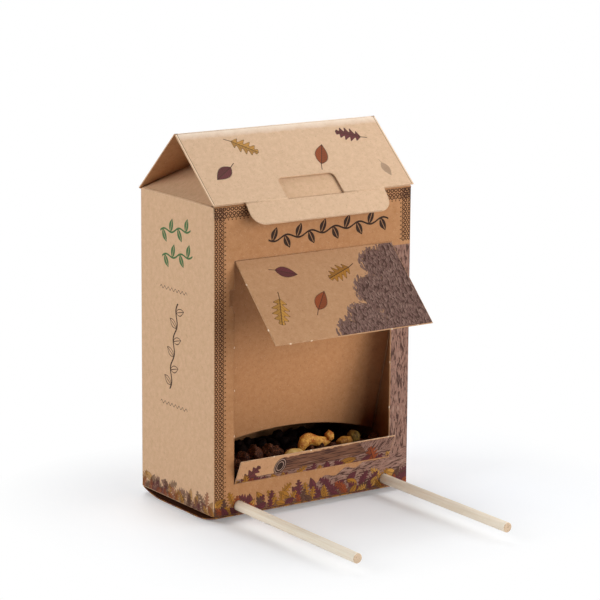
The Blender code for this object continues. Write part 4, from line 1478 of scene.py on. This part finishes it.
studio = {
    "world": 0.03,
    "middle": (0, 0, 0.1),  # what the lamps look at
    "lamps": [
        # name, azimuth, elevation, distance, size, watts, colour
        ("frontRight", 36, 10, 1.5, 0.9, 10.3, (1, 1, 1)),
        ("front", 12, 8, 1.5, 0.9, 9.0, (1, 1, 1)),
        ("leftBack", -115, 30, 1.6, 0.8, 7.3, (1, 1, 1)),
        ("leftFill", -89, 22, 1.5, 0.5, 6.3, (1, 1, 1)),
        ("roofKick", 60, 42, 0.7, 0.35, 1.4, (0.95, 1, 1.06)),
        ("topBack", 172, 60, 1.4, 0.7, 9.2, (0.95, 1, 1.06)),
    ],
    "floorHalf": 6,
    "floor": (0.865, 0.87, 0.88), "floorRoughness": 0.9,
    "floorGlow": 0.17,
    # the floor whitens with the distance from a patch as large as the carton's foot
    "foot": (0.07, 0.041), "footMiddle": (0.02, -0.022),
    "whiteFrom": 0.02, "whiteAt": 0.122,
}


def plainFloor():
    shape = bmesh.new()
    bmesh.ops.create_grid(shape, x_segments=1, y_segments=1, size=studio["floorHalf"])
    toPiece(shape, "floor", [floorWhite()])


def floorWhite():
    # a white floor that keeps the shadow; the camera sees it plain white further off
    paint = Paint("floorWhite")
    paint.finish((*studio["floor"], 1), studio["floorRoughness"])
    east, north, up = paint.parts(paint.place())
    east = paint.most(abs(east - studio["footMiddle"][0]) - studio["foot"][0], 0)
    north = paint.most(abs(north - studio["footMiddle"][1]) - studio["foot"][1], 0)
    reach = studio["whiteAt"] - studio["whiteFrom"]
    share = paint.clamp((paint.length(east, north) - studio["whiteFrom"]) / reach)
    seen = paint.node("ShaderNodeLightPath", {}, {}, "Is Camera Ray")
    plain = Signal(paint, paint.shader.outputs[0])
    glow, lift = [paint.node("ShaderNodeEmission", {}, {"Color": (1, 1, 1, 1), "Strength": strength})
                  for strength in (1.0, studio["floorGlow"])]
    lifted = paint.node("ShaderNodeAddShader", {}, {0: plain, 1: lift})
    near = paint.node("ShaderNodeMixShader", {}, {0: seen, 1: plain, 2: lifted})
    mixed = paint.node("ShaderNodeMixShader", {}, {0: share * seen, 1: near, 2: glow})
    paint.feed(paint.tree.nodes["Material Output"].inputs["Surface"], mixed)
    return paint.material


def whiteWorld():
    # plain white for the camera, and a faint fill for everything else
    world = bpy.data.worlds.new("studioWorld")
    world.use_nodes = True
    bpy.context.scene.world = world
    tree = world.node_tree
    background = tree.nodes["Background"]
    background.inputs["Color"].default_value = (1, 1, 1, 1)
    path = tree.nodes.new("ShaderNodeLightPath")
    strength = tree.nodes.new("ShaderNodeMix")
    strength.data_type = "FLOAT"
    strength.inputs["A"].default_value = studio["world"]
    strength.inputs["B"].default_value = 1.0
    tree.links.new(path.outputs["Is Camera Ray"], strength.inputs["Factor"])
    tree.links.new(strength.outputs["Result"], background.inputs["Strength"])


def lightStudio():
    for name, azimuth, elevation, distance, size, watts, color in studio["lamps"]:
        back = aim(azimuth, elevation)
        data = bpy.data.lights.new(name, "AREA")
        data.shape = "SQUARE"
        data.size = size
        data.energy = watts
        data.color = color
        rotation = back.to_track_quat("Z", "Y").to_matrix().to_4x4()
        spot = Vector(studio["middle"]) + back * distance
        show(name, data).matrix_world = Matrix.Translation(spot) @ rotation


placeCamera()
plainFloor()
whiteWorld()
lightStudio()
bpy.context.scene.view_settings.view_transform = "Standard"
print("camera and studio ready")
